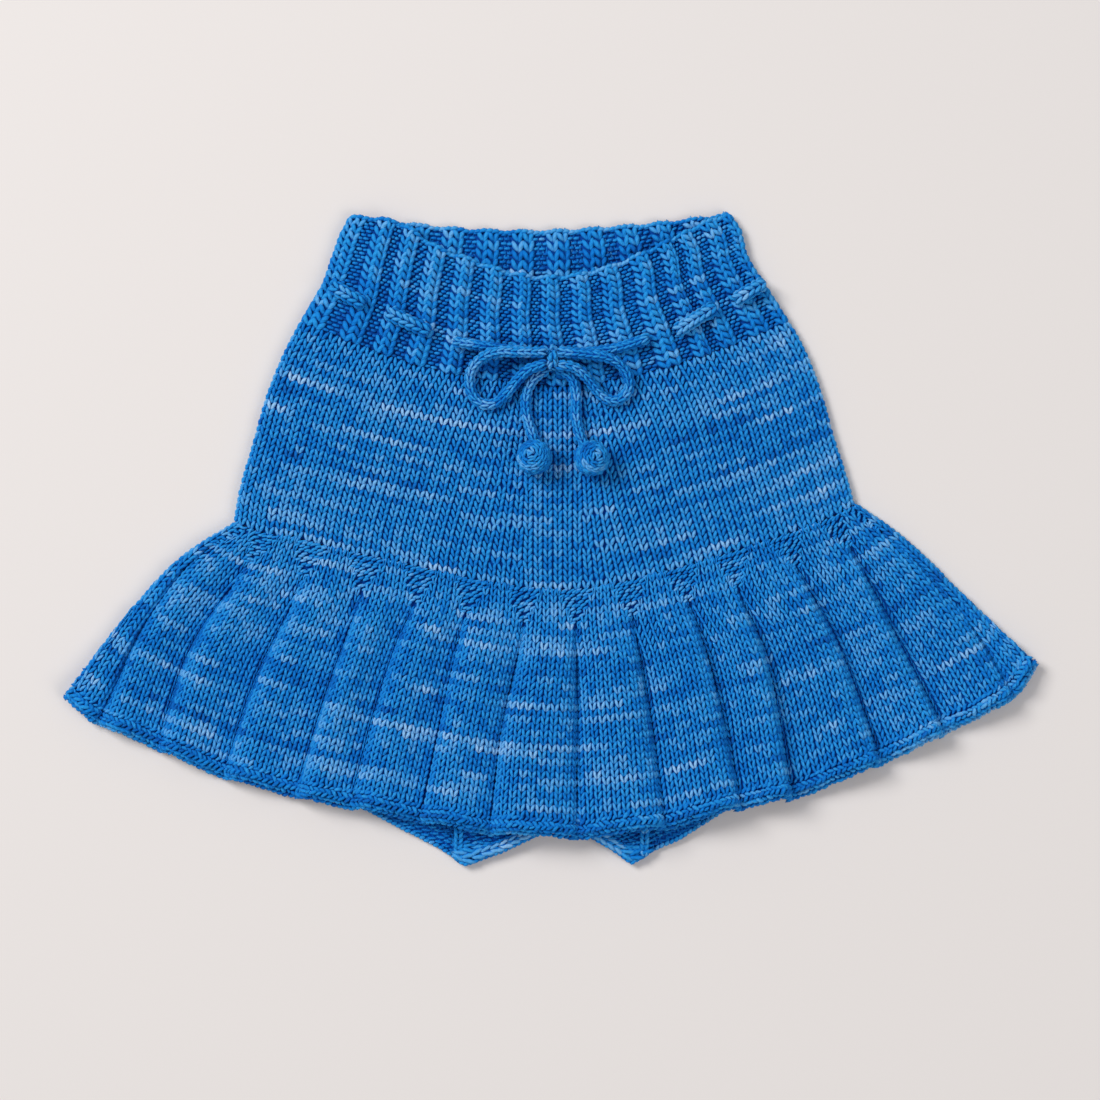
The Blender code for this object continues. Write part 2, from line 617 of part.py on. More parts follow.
remove_everything()
skirt = bpy.data.collections.new("knitted_skirt")
bpy.context.scene.collection.children.link(skirt)
make_waistband_and_body(skirt)
make_flounce(skirt)
make_shorts(skirt)
make_drawstring(skirt)
make_knot_and_balls(skirt)
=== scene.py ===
"""A hand-knitted child's skirt with shorts, laid flat on its back.

Every stitch that shows is modelled: knit stitches as pairs of plump legs, purl stitches as
short bumps, set on thin shells that have the garment's form. Lengths are in millimetres up
to the point where a mesh is made.
"""

import bmesh
import bpy
import numpy as np
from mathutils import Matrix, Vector


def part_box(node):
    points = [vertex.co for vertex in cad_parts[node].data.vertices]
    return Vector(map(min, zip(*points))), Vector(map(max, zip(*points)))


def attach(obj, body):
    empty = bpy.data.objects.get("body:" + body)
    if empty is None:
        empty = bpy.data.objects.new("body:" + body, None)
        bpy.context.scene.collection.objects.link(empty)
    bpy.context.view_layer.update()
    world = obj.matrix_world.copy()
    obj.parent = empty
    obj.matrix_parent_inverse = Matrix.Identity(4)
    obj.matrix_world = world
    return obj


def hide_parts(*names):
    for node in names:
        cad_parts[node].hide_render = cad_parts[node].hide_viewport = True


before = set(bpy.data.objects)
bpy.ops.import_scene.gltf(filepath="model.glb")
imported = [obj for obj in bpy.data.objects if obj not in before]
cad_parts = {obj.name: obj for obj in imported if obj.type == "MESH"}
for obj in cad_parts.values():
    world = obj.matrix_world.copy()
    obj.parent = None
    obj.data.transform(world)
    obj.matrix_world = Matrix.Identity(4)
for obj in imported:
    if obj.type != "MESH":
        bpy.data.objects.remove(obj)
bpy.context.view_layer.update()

# Camera, floor and light
# The skirt is seen from straight above, through a long lens, on a plain pale board.
# A soft window stands beyond the waist on the left, so each pleat has a brighter left side.
MM = 0.001
VIEW_CENTRE = (-0.2, -4.0)
VIEW_WIDTH = 495.0
VIEW_HEIGHT = 6.0          # the height at which that width is seen
LENS = 110.0
SENSOR = 36.0
BOARD_COLOUR = "#E4DEDB"
BOARD_REACH = 3.0


def linear(hex_colour):
    """A linear RGBA colour from an sRGB hex value."""
    values = [int(hex_colour[i:i + 2], 16) / 255 for i in (1, 3, 5)]
    return [v / 12.92 if v <= 0.04045 else ((v + 0.055) / 1.055) ** 2.4 for v in values] + [1.0]


def add_node(tree, kind, settings=None, links=None, values=None):
    """Add a node, set its properties and sockets, and link its inputs to other outputs."""
    node = tree.nodes.new(kind)
    for name, value in (settings or {}).items():
        setattr(node, name, value)
    for name, value in (values or {}).items():
        node.inputs[name].default_value = value
    for name, source in (links or {}).items():
        tree.links.new(source, node.inputs[name])
    return node


def new_material(name):
    made = bpy.data.materials.new(name)
    made.use_nodes = True
    return made, made.node_tree, made.node_tree.nodes["Principled BSDF"]


def put_in_scene(name, data):
    made = bpy.data.objects.new(name, data)
    bpy.context.scene.collection.objects.link(made)
    return made


long_lens = bpy.data.cameras.new("overhead")
long_lens.lens = LENS
long_lens.sensor_width = SENSOR
long_lens.clip_end = 20.0
camera = put_in_scene("overhead", long_lens)
camera.location = Vector((*VIEW_CENTRE, VIEW_HEIGHT + LENS / SENSOR * VIEW_WIDTH)) * MM
bpy.context.scene.camera = camera
bpy.context.scene.view_settings.view_transform = "Standard"

board_mesh = bpy.data.meshes.new("board")
corners = [(-1, -1), (1, -1), (1, 1), (-1, 1)]
board_mesh.from_pydata([(x * BOARD_REACH, y * BOARD_REACH, 0) for x, y in corners], [], [(0, 1, 2, 3)])
# Painted board, matt: it hardly shines, so only the soft shadow of the skirt shows on it
matt, _, matt_shader = new_material("matt_board")
matt_shader.inputs["Base Color"].default_value = linear(BOARD_COLOUR)
matt_shader.inputs["Roughness"].default_value = 0.9
matt_shader.inputs["Specular IOR Level"].default_value = 0.1
board_mesh.materials.append(matt)
board = put_in_scene("board", board_mesh)


def soft_light(name, place, size, power):
    """A square light that faces the skirt. Its place and size are in metres."""
    lamp = bpy.data.lights.new(name, "AREA")
    lamp.size = size
    lamp.energy = power
    made = put_in_scene(name, lamp)
    made.location = place
    made.rotation_euler = (-Vector(place)).to_track_quat("-Z", "Y").to_euler()


soft_light("window", place=(-1.8, 1.3, 2.3), size=1.3, power=78.0)
soft_light("reflector", place=(1.6, -0.9, 2.1), size=1.6, power=20.0)
studio = bpy.data.worlds.new("studio")
studio.use_nodes = True
studio.node_tree.nodes["Background"].inputs["Color"].default_value = linear("#F4F5F7")
studio.node_tree.nodes["Background"].inputs["Strength"].default_value = 0.36
bpy.context.scene.world = studio

# Drawstring
# A knitted cord of three stitches round, about 5 mm thick, drawn through the ribbing and tied
# in a bow. Its rows of stitches run along it, on a soft core of the same yarn.
CORD = 5.4                 # across the solid cord
CORD_DRAWN = 4.6           # across its stitches, where it isn't pressed
CORD_CORE = 0.30           # radius of the core, as a share of the cord's diameter
CORD_COLUMNS = 3
CORD_ROW = 3.0
CORD_STITCH = (1.25, 1.05, 0.9)   # in shares of its column, its row and the yarn
CORD_STAGGER = 0.3         # of a row, between one column and the next
CORD_ROW_DYE = 5           # stitch widths by which one row moves on along the dye
CORE_SIDES = 10
CORD_LIGHTER = 0.07        # in tone, as the cord stands above the rest in full light
YARN = 2.1                 # thickness of the yarn
CORD_SINK = 1.05           # of the stitches' own line below the cord's surface
FIXED_SEED = 11
UNEVEN_PLACE = 0.13        # how far a stitch strays from its place
UNEVEN_TONE = 0.14         # how far its tone strays, on a scale from 0, dark, to 1, light
UNEVEN_TURN = 0.07         # in radians
PLIES = 3
MOTTLE, SHADE_MOTTLE = 1.11, 2.38   # size of the blotches of tone
FUZZ = 0.19                # spacing of the fibres, drawn coarser than real ones so that they show
RESTING = 0.05             # lowest height of any yarn over the surface
YARN_TONES = [(0.0, "#004CA6"), (0.28, "#027AD2"), (0.50, "#2395DF"), (0.75, "#64AEE8"),
              (1.0, "#98C8F2")]
STRAND_TOP_HIGHLIGHT = 0.15      # painted highlight and shade: the top of a strand is drawn lighter than its sides, and its underside darker, by this in tone
SHADE_TONES = [(0.0, "#003486"), (1.0, "#034EAA")]

noise_values = np.random.RandomState(FIXED_SEED).rand(8192)


def ramp(tree, source, tones):
    node = add_node(tree, "ShaderNodeValToRGB", links={"Fac": source})
    points = node.color_ramp.elements
    for place, _ in tones[1:-1]:
        points.new(place)
    for point, (place, colour) in zip(points, tones):
        point.position = place
        point.color = linear(colour)
    return node.outputs["Color"]


def wool(name):
    """Plied wool, dyed by hand: matt, with tones that change along the yarn.

    The three plies give it slanting lines, and its fuzz a soft rim of light. Each strand has a painted
    highlight on its top and painted shade below.
    """
    made, tree, shader = new_material(name)
    dye = add_node(tree, "ShaderNodeAttribute", {"attribute_name": "dye"})
    place = add_node(tree, "ShaderNodeTexCoord")
    mottle = add_node(tree, "ShaderNodeTexNoise", values={"Scale": 1 / (MOTTLE * MM), "Detail": 3.0},
                      links={"Vector": place.outputs["Object"]})
    # The dye sets the tone, and the blotches vary it
    raised = add_node(tree, "ShaderNodeMath", {"operation": "MULTIPLY_ADD"},
                      {0: mottle.outputs["Fac"], 2: dye.outputs["Fac"]}, {1: 0.2})
    # The first UV value goes once round a strand and is a quarter on its top, where a painted highlight
    # lightens the tone; its underside gets painted shade
    turn = add_node(tree, "ShaderNodeSeparateXYZ", links={"Vector": place.outputs["UV"]})
    angle = add_node(tree, "ShaderNodeMath", {"operation": "MULTIPLY"},
                     {0: turn.outputs["X"]}, {1: 2 * np.pi})
    topside = add_node(tree, "ShaderNodeMath", {"operation": "SINE"}, {0: angle.outputs["Value"]})
    level = add_node(tree, "ShaderNodeMath", {"operation": "MULTIPLY_ADD"},
                     {0: topside.outputs["Value"], 2: raised.outputs["Value"]}, {1: STRAND_TOP_HIGHLIGHT})
    centred = add_node(tree, "ShaderNodeMath", {"operation": "SUBTRACT"},
                       {0: level.outputs["Value"]}, {1: 0.1})
    tree.links.new(ramp(tree, centred.outputs["Value"], YARN_TONES), shader.inputs["Base Color"])
    # The plies make one turn in each leg of a stitch, about 4 mm. At a scale of 1 the node
    # has ten waves in a length of 2 pi.
    ply = add_node(tree, "ShaderNodeTexWave", {"bands_direction": "DIAGONAL"},
                   {"Vector": place.outputs["UV"]}, {"Scale": PLIES * 2 * np.pi / 10, "Distortion": 0.4})
    fuzz = add_node(tree, "ShaderNodeTexNoise", values={"Scale": 1 / (FUZZ * MM), "Detail": 2.0},
                    links={"Vector": place.outputs["Object"]})
    relief = add_node(tree, "ShaderNodeMath", {"operation": "ADD"},
                      {0: ply.outputs["Fac"], 1: fuzz.outputs["Fac"]})
    bump = add_node(tree, "ShaderNodeBump", links={"Height": relief.outputs["Value"]},
                    values={"Strength": 0.7, "Distance": 0.00022})
    tree.links.new(bump.outputs["Normal"], shader.inputs["Normal"])
    shader.inputs["Roughness"].default_value = 0.75
    shader.inputs["Specular IOR Level"].default_value = 0.12
    shader.inputs["Sheen Weight"].default_value = 0.10
    shader.inputs["Sheen Roughness"].default_value = 0.5
    shader.inputs["Sheen Tint"].default_value = linear("#6FAEF0")
    return made


def shaded_wool(name):
    """The same wool deep between the stitches: dull and dark, as little light reaches it."""
    made, tree, shader = new_material(name)
    place = add_node(tree, "ShaderNodeTexCoord")
    mottle = add_node(tree, "ShaderNodeTexNoise", values={"Scale": 1 / (SHADE_MOTTLE * MM), "Detail": 4.0},
                      links={"Vector": place.outputs["Object"]})
    tree.links.new(ramp(tree, mottle.outputs["Fac"], SHADE_TONES), shader.inputs["Base Color"])
    bump = add_node(tree, "ShaderNodeBump", links={"Height": mottle.outputs["Fac"]},
                    values={"Strength": 0.6, "Distance": 0.0003})
    tree.links.new(bump.outputs["Normal"], shader.inputs["Normal"])
    shader.inputs["Roughness"].default_value = 0.9
    shader.inputs["Specular IOR Level"].default_value = 0.1
    return made


yarn_wool = wool("plied_wool")
inner_wool = shaded_wool("shaded_wool")

# Paths of the legs of a stitch, in shares of the stitch's width, its height and the yarn:
# place across, place along, height, half width and half thickness
RIGHT_LEG = [(0.39, 0.86, -0.50, 0.0, 0.0), (0.345, 0.56, -0.02, 0.155, 0.40),
             (0.258, 0.12, 0.20, 0.210, 0.54), (0.145, -0.36, 0.15, 0.172, 0.46),
             (0.015, -0.80, -0.10, 0.0, 0.0)]
LEFT_SLIMMER = 0.93
LEFT_LEG = [(-x, y, z, wide * LEFT_SLIMMER, thick) for x, y, z, wide, thick in RIGHT_LEG]
STRAIGHT_LEG = [(0.40, 0.86, -0.45, 0.0, 0.0), (0.345, 0.50, 0.0, 0.165, 0.40),
                (0.275, 0.04, 0.18, 0.215, 0.50), (0.190, -0.40, 0.12, 0.17, 0.44),
                (0.08, -0.82, -0.15, 0.0, 0.0)]
SLANTED_LEG = [(-0.46, 0.70, -0.40, 0.0, 0.0), (-0.37, 0.44, 0.02, 0.17, 0.40),
               (-0.20, 0.04, 0.20, 0.24, 0.52), (-0.03, -0.34, 0.12, 0.18, 0.42),
               (0.10, -0.66, -0.20, 0.0, 0.0)]
PURL_HEAD = [(-0.46, 0.02, -0.34, 0.0, 0.0), (-0.25, 0.20, 0.06, 0.17, 0.36),
             (0.0, 0.29, 0.20, 0.22, 0.46), (0.25, 0.20, 0.06, 0.17, 0.36),
             (0.46, 0.02, -0.34, 0.0, 0.0)]
PURL_FOOT = [(x + 0.5, -y, z - 0.08, wide, thick) for x, y, z, wide, thick in PURL_HEAD]
# The leg of a smooth stitch with fewer faces, for the side that lies flat
PRESSED_LEG = [(0.39, 0.86, -0.50, 0.0, 0.0), (0.315, 0.38, 0.06, 0.19, 0.44),
               (0.175, -0.24, 0.14, 0.19, 0.48), (0.015, -0.80, -0.10, 0.0, 0.0)]
OTHER_PRESSED_LEG = [(-x, y, z, wide, thick) for x, y, z, wide, thick in PRESSED_LEG]
# A short strand across a column
LOZENGE = [(-0.60, 0.0, -0.40, 0.0, 0.0), (-0.34, 0.02, 0.08, 0.26, 0.42),
           (0.0, 0.03, 0.24, 0.33, 0.52), (0.34, -0.02, 0.08, 0.26, 0.42),
           (0.60, 0.0, -0.40, 0.0, 0.0)]


def add_leg(mesh, path, sides):
    """One plump leg of yarn, pointed where it dives under its neighbours."""
    uv_layer = mesh.loops.layers.uv.verify()
    middle = [Vector(row[:3]) for row in path]
    rings = [[mesh.verts.new(middle[0])]]
    for i in range(1, len(path) - 1):
        wide, thick = path[i][3:]
        across = (middle[i + 1] - middle[i - 1]).cross(Vector((0, 0, 1))).normalized()
        angles = [2 * np.pi * n / sides for n in range(sides)]
        rings.append([mesh.verts.new(middle[i] + across * (np.cos(a) * wide)
                                     + Vector((0, 0, np.sin(a) * thick))) for a in angles])
    rings.append([mesh.verts.new(middle[-1])])
    for i, (first, second) in enumerate(zip(rings, rings[1:])):
        for n in range(sides):
            m = (n + 1) % sides
            corners = [(first[n % len(first)], n, i), (first[m % len(first)], n + 1, i),
                       (second[m % len(second)], n + 1, i + 1), (second[n % len(second)], n, i + 1)]
            kept = [c for j, c in enumerate(corners) if c[0] not in [d[0] for d in corners[:j]]]
            made = mesh.faces.new([c[0] for c in kept])
            made.smooth = True
            for loop, (_, turn, step) in zip(made.loops, kept):
                loop[uv_layer].uv = (turn / sides, step / (len(path) - 1))


def stitch_form(name, paths, sides):
    """A small mesh that is repeated for every stitch of its kind."""
    mesh = bmesh.new()
    for path in paths:
        add_leg(mesh, path, sides)
    bmesh.ops.recalc_face_normals(mesh, faces=mesh.faces)
    data = bpy.data.meshes.new(name)
    mesh.to_mesh(data)
    mesh.free()
    return put_in_scene(name, data)


FORMS = {
    "knit": stitch_form("knit_stitch", [RIGHT_LEG, LEFT_LEG], 5),
    "rib": stitch_form("rib_stitch", [STRAIGHT_LEG, SLANTED_LEG], 5),
    "purl": stitch_form("purl_stitch", [PURL_HEAD, PURL_FOOT], 5),
    "bump": stitch_form("rolled_stitch", [LOZENGE], 5),
    "knit_pressed": stitch_form("knit_stitch_pressed", [PRESSED_LEG, OTHER_PRESSED_LEG], 4),
    "purl_pressed": stitch_form("purl_stitch_pressed", [PURL_HEAD, PURL_FOOT], 4),
}


def stitching_tree(form):
    """Sets one stitch on each point, turned and sized by the point's own values."""
    tree = bpy.data.node_groups.new("set_" + form.name, "GeometryNodeTree")
    face = tree.interface
    face.new_socket("Geometry", in_out="INPUT", socket_type="NodeSocketGeometry")
    face.new_socket("Uneven Turn", in_out="INPUT", socket_type="NodeSocketFloat")
    face.new_socket("Seed", in_out="INPUT", socket_type="NodeSocketInt")
    face.new_socket("Geometry", in_out="OUTPUT", socket_type="NodeSocketGeometry")
    given = add_node(tree, "NodeGroupInput")
    source = add_node(tree, "GeometryNodeObjectInfo", values={"Object": form})
    vector = {"data_type": "FLOAT_VECTOR"}
    facing, upward, size = [
        add_node(tree, "GeometryNodeInputNamedAttribute", vector,
                 values={"Name": name}).outputs["Attribute"]
        for name in ("facing", "upward", "size")]
    turn = add_node(tree, "FunctionNodeAxesToRotation", {"primary_axis": "Z", "secondary_axis": "Y"},
                    {"Primary Axis": facing, "Secondary Axis": upward})
    placed = add_node(tree, "GeometryNodeInstanceOnPoints", links={
        "Points": given.outputs["Geometry"], "Instance": source.outputs["Geometry"],
        "Rotation": turn.outputs["Rotation"], "Scale": size})
    least = add_node(tree, "ShaderNodeMath", {"operation": "MULTIPLY"},
                     {0: given.outputs["Uneven Turn"]}, {1: -1.0})
    chance = add_node(tree, "FunctionNodeRandomValue", vector, {
        "Min": least.outputs["Value"], "Max": given.outputs["Uneven Turn"],
        "Seed": given.outputs["Seed"]})
    turned = add_node(tree, "GeometryNodeRotateInstances", links={
        "Instances": placed.outputs["Instances"], "Rotation": chance.outputs["Value"]})
    last = turned.outputs["Instances"]
    for name in ("facing", "upward", "size"):
        last = add_node(tree, "GeometryNodeRemoveAttribute", links={"Geometry": last},
                        values={"Name": name}).outputs["Geometry"]
    real = add_node(tree, "GeometryNodeRealizeInstances", links={"Geometry": last})
    dressed = add_node(tree, "GeometryNodeSetMaterial", links={"Geometry": real.outputs["Geometry"]},
                       values={"Material": yarn_wool})
    add_node(tree, "NodeGroupOutput", links={"Geometry": dressed.outputs["Geometry"]})
    return tree, {item.name: item.identifier for item in face.items_tree if item.in_out == "INPUT"}


TREES = {kind: stitching_tree(form) for kind, form in FORMS.items()}


def smooth(known_x, known_y, x):
    """Values at x of a smooth curve through the known points."""
    known_x = np.asarray(known_x, float)
    known_y = np.asarray(known_y, float)
    slope = np.gradient(known_y, known_x)
    i = np.clip(np.searchsorted(known_x, x) - 1, 0, len(known_x) - 2)
    width = known_x[i + 1] - known_x[i]
    t = np.clip((x - known_x[i]) / width, 0.0, 1.0)
    start = (1 + 2 * t) * (1 - t) ** 2 * known_y[i] + t * (1 - t) ** 2 * width * slope[i]
    end = t * t * (3 - 2 * t) * known_y[i + 1] + t * t * (t - 1) * width * slope[i + 1]
    return start + end


def chance_at(numbers):
    return noise_values[np.asarray(numbers).astype(int) % len(noise_values)]


def wander(place):
    """Smooth values from 0 to 1 along a line, the same each time."""
    cell = np.floor(place)
    t = place - cell
    t = t * t * (3 - 2 * t)
    return chance_at(cell) * (1 - t) + chance_at(cell + 1) * t


def dye_along(length):
    """Tone of hand-dyed yarn, by the length of knitting worked so far, in mm of knitting."""
    # Slow drifts, patches of 70 mm, and light splashes that make the dashes along a row
    slow = wander(length / 330.0 + 40.3)
    medium = wander(length / 70.0 + 511.7)
    short = wander(length / 24.0 + 1203.1)
    splash = np.clip((short - 0.50) / 0.30, 0.0, 1.0) * wander(length / 260.0 + 77.7)
    return 0.08 + 0.22 * slow + 0.22 * medium + 0.38 * splash


class Knitting:
    """The stitches of one piece, gathered before they are made into a mesh."""

    def __init__(self):
        self.kinds = {}

    def add(self, kind, place, facing, upward, size, dye):
        """Stitches of one kind: middle, direction outward, direction up the column, size."""
        count = len(place)
        rows = [np.broadcast_to(np.asarray(v, float), (count, 3)) for v in (place, facing, upward, size)]
        tone = np.broadcast_to(np.asarray(dye, float), (count,))
        self.kinds.setdefault(kind, []).append((*rows, tone))

    def make(self, name):
        """All stitches of the piece as one plain mesh."""
        parts = []
        for kind, batches in self.kinds.items():
            place, facing, upward, size, tone = (np.concatenate(v) for v in zip(*batches))
            order = np.arange(len(place))
            stray = np.stack([chance_at(order * 3 + i) for i in (5, 1711, 4093)], axis=1) - 0.5
            place = place + stray * 2 * UNEVEN_PLACE
            tone = np.clip(tone + 2 * UNEVEN_TONE * (chance_at(order * 7 + 13) - 0.5), 0.0, 1.0)
            data = bpy.data.meshes.new(name + "_" + kind)
            data.vertices.add(len(place))
            data.vertices.foreach_set("co", (place * MM).ravel())
            for label, values in (("facing", facing), ("upward", upward), ("size", size * MM)):
                layer = data.attributes.new(label, "FLOAT_VECTOR", "POINT")
                layer.data.foreach_set("vector", values.ravel().astype(np.float32))
            layer = data.attributes.new("dye", "FLOAT", "POINT")
            layer.data.foreach_set("value", tone.astype(np.float32))
            parts.append(self.realise(name + "_" + kind, data, kind))
        return join(parts, name)

    @staticmethod
    def realise(name, data, kind):
        """The stitches of one kind, with those that reach the surface pressed flat on it."""
        holder = put_in_scene(name + "_points", data)
        tree, sockets = TREES[kind]
        modifier = holder.modifiers.new("stitches", "NODES")
        modifier.node_group = tree
        modifier[sockets["Uneven Turn"]] = UNEVEN_TURN
        modifier[sockets["Seed"]] = FIXED_SEED
        graph = bpy.context.evaluated_depsgraph_get()
        mesh = bpy.data.meshes.new_from_object(holder.evaluated_get(graph), depsgraph=graph)
        bpy.data.objects.remove(holder)
        points = np.empty(len(mesh.vertices) * 3, np.float32)
        mesh.vertices.foreach_get("co", points)
        points[2::3] = np.maximum(points[2::3], RESTING * MM)
        mesh.vertices.foreach_set("co", points)
        return put_in_scene(name, mesh)


def join(pieces, name):
    if len(pieces) > 1:
        with bpy.context.temp_override(active_object=pieces[0], selected_editable_objects=pieces):
            bpy.ops.object.join()
    pieces[0].name = name
    pieces[0].data.name = name
    return pieces[0]


def unit(vectors):
    return vectors / np.linalg.norm(vectors, axis=-1, keepdims=True)


def distances(points):
    """How far along a line each of its points lies."""
    return np.concatenate([[0.0], np.cumsum(np.linalg.norm(np.diff(points, axis=0), axis=1))])


def smooth_route(route, step):
    """Evenly spaced points on a smooth curve through the points of a route."""
    known = np.array(route, float)
    way = distances(known)
    fine = np.linspace(0.0, way[-1], 400)
    curve = np.stack([smooth(way, known[:, axis], fine) for axis in range(3)], axis=1)
    true_way = distances(curve)
    count = max(3, int(round(true_way[-1] / step)) + 1)
    places = np.linspace(0.0, true_way[-1], count)
    return np.stack([np.interp(places, true_way, curve[:, axis]) for axis in range(3)], axis=1)


def ring_directions(points, closed, beside):
    """Directions along and round a route, with its side direction where that is given."""
    if closed:
        along = unit(np.roll(points, -1, axis=0) - np.roll(points, 1, axis=0))
    else:
        along = unit(np.gradient(points, axis=0))
    if beside is None:
        beside = unit(np.cross(along, [0.0, 0.0, 1.0]))
    beside = np.broadcast_to(beside, along.shape)
    return along, beside, np.cross(beside, along)


def tube(name, points, radius, closed, beside):
    """Round core of a cord, closed at its ends."""
    _, beside, above = ring_directions(points, closed, beside)
    mesh = bmesh.new()
    angles = [2 * np.pi * n / CORE_SIDES for n in range(CORE_SIDES)]
    rings = [[mesh.verts.new((point + radius * (np.cos(a) * side + np.sin(a) * up)) * MM) for a in angles]
             for point, side, up in zip(points, beside, above)]
    pairs = list(zip(rings, rings[1:])) + ([(rings[-1], rings[0])] if closed else [])
    for first, second in pairs:
        for n in range(CORE_SIDES):
            m = (n + 1) % CORE_SIDES
            mesh.faces.new((first[n], first[m], second[m], second[n])).smooth = True
    if not closed:
        mesh.faces.new(rings[0])
        mesh.faces.new(rings[-1])
    bmesh.ops.recalc_face_normals(mesh, faces=mesh.faces)
    data = bpy.data.meshes.new(name)
    mesh.to_mesh(data)
    mesh.free()
    data.materials.append(inner_wool)
    return put_in_scene(name, data)


def knitted_cord(node, route, started, closed=False, beside=None, across=CORD_DRAWN):
    """A cord with its stitches round it, standing for a CAD node, and the line it follows.

    The value started, here and below, is how much was knitted before. It picks the dye.
    """
    points = smooth_route(route, CORD_ROW)
    if closed:
        points = points[:-1]
    along, side, above = ring_directions(points, closed, beside)
    stitches = Knitting()
    reach = across / 2 - CORD_SINK
    width = 2 * np.pi * reach / CORD_COLUMNS
    worked = started + np.arange(len(points)) * CORD_ROW_DYE * width
    for column in range(CORD_COLUMNS):
        # One column lies on top, where it is seen whole
        angle = np.pi / 2 + 2 * np.pi * column / CORD_COLUMNS
        facing = np.cos(angle) * side + np.sin(angle) * above
        onward = CORD_STAGGER * CORD_ROW * (column % 2) * along
        stitches.add("knit", points + facing * reach + onward, facing, -along,
                     np.array(CORD_STITCH) * (width, CORD_ROW, YARN),
                     dye_along(worked + column * width) + CORD_LIGHTER)
    name = "knitted_" + node
    made = join([stitches.make(name + "_stitches"),
                 tube(name + "_core", points, CORD * CORD_CORE, closed, beside)], name)
    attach(made, "root")
    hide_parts(node)
    return made, points


ROUTES = {
    "run_left": [(-41.6, 89.1, 12.4), (-31.7, 87.6, 12.5), (-20.5, 86.0, 12.5), (-11.0, 84.6, 12.5),
                 (-4.0, 83.4, 12.5)],
    "run_right": [(5.3, 83.2, 12.5), (15.5, 84.4, 12.5), (27.7, 86.0, 12.5), (35.8, 88.2, 12.5),
                  (42.1, 90.5, 12.4)],
    "loop_left": [(-4.0, 84.3, 18.4), (-13.0, 84.3, 18.4), (-23.0, 84.4, 18.0), (-30.0, 82.3, 16.2),
                  (-34.6, 78.0, 13.8), (-36.3, 72.2, 12.3), (-35.2, 66.2, 11.4), (-31.2, 61.9, 11.3),
                  (-25.9, 61.4, 11.3), (-20.4, 65.4, 11.8), (-15.0, 71.6, 14.5), (-9.6, 76.6, 17.6),
                  (-4.0, 78.5, 18.4)],
    "loop_right": [(5.3, 84.3, 18.4), (11.0, 83.9, 18.4), (18.6, 83.2, 18.1), (25.5, 82.0, 17.3),
                   (31.2, 78.9, 15.0), (35.0, 73.4, 12.9), (34.6, 67.2, 11.5), (30.0, 63.0, 11.3),
                   (24.4, 64.2, 11.5), (19.8, 68.8, 13.2), (15.4, 74.0, 16.0), (10.6, 77.5, 18.0),
                   (5.3, 78.5, 18.4)],
}
TAIL_ROUTES = {
    "tail_left": [(-2.6, 76.4, 12.6), (-7.4, 73.0, 12.5), (-10.6, 66.6, 11.5), (-11.0, 59.0, 11.3),
                  (-9.7, 52.7, 11.3), (-7.4, 46.0, 12.2)],
    "tail_right": [(4.6, 76.8, 12.6), (9.7, 73.0, 12.5), (11.5, 65.7, 11.5), (11.5, 56.0, 11.3),
                   (12.9, 48.5, 11.3), (15.0, 43.9, 12.0)],
}
for node, route in ROUTES.items():
    piece, points = knitted_cord(node, route, started=400.0 + 31 * route[0][0])

# Knot of the bow
# The cord itself, wrapped once round the place where its loops and ends cross and
# pulled tight, so its ring of stitches hides where they begin.
KNOT_CENTRE = (0.6, 80.8, 15.4)
KNOT_LEAN = 0.5            # its top lies this far to the right of its middle
KNOT_WRAP = (2.5, 3.0)     # half height along the skirt and half height above it

wrap = [(KNOT_CENTRE[0] + KNOT_LEAN * np.sin(a), KNOT_CENTRE[1] + KNOT_WRAP[0] * np.cos(a),
         KNOT_CENTRE[2] + KNOT_WRAP[1] * np.sin(a)) for a in np.linspace(0.0, 2 * np.pi, 25)]
knot, _ = knitted_cord("bow_knot", wrap, started=2850.0, closed=True, beside=(1.0, 0.0, 0.0))

# Balls
# A small knitted ball on each end of the drawstring, stuffed with yarn. Its rows go
# round and round from the middle of its face.
BALL_RADIUS = 7.7
BALL_ROWS = 8
BALL_STITCH = 3.0
BALL_LARGER = (1.25, 1.1, 1.0)   # the stitches reach over each other by this
BALL_SWIRL = 0.37          # of a stitch, by which each row starts further round
BALL_ROW_DYE, BALL_TURN_DYE = 130.0, 9.0   # steps along the dye, by row and by turn
BALL_CORE_DEPTH = 0.6      # of the core below the middle of the stitches
# Which way the middle of each ball's face looks
BALL_AXES = {"ball_left": (-0.30, 0.25, 0.9), "ball_right": (0.35, 0.15, 0.9)}


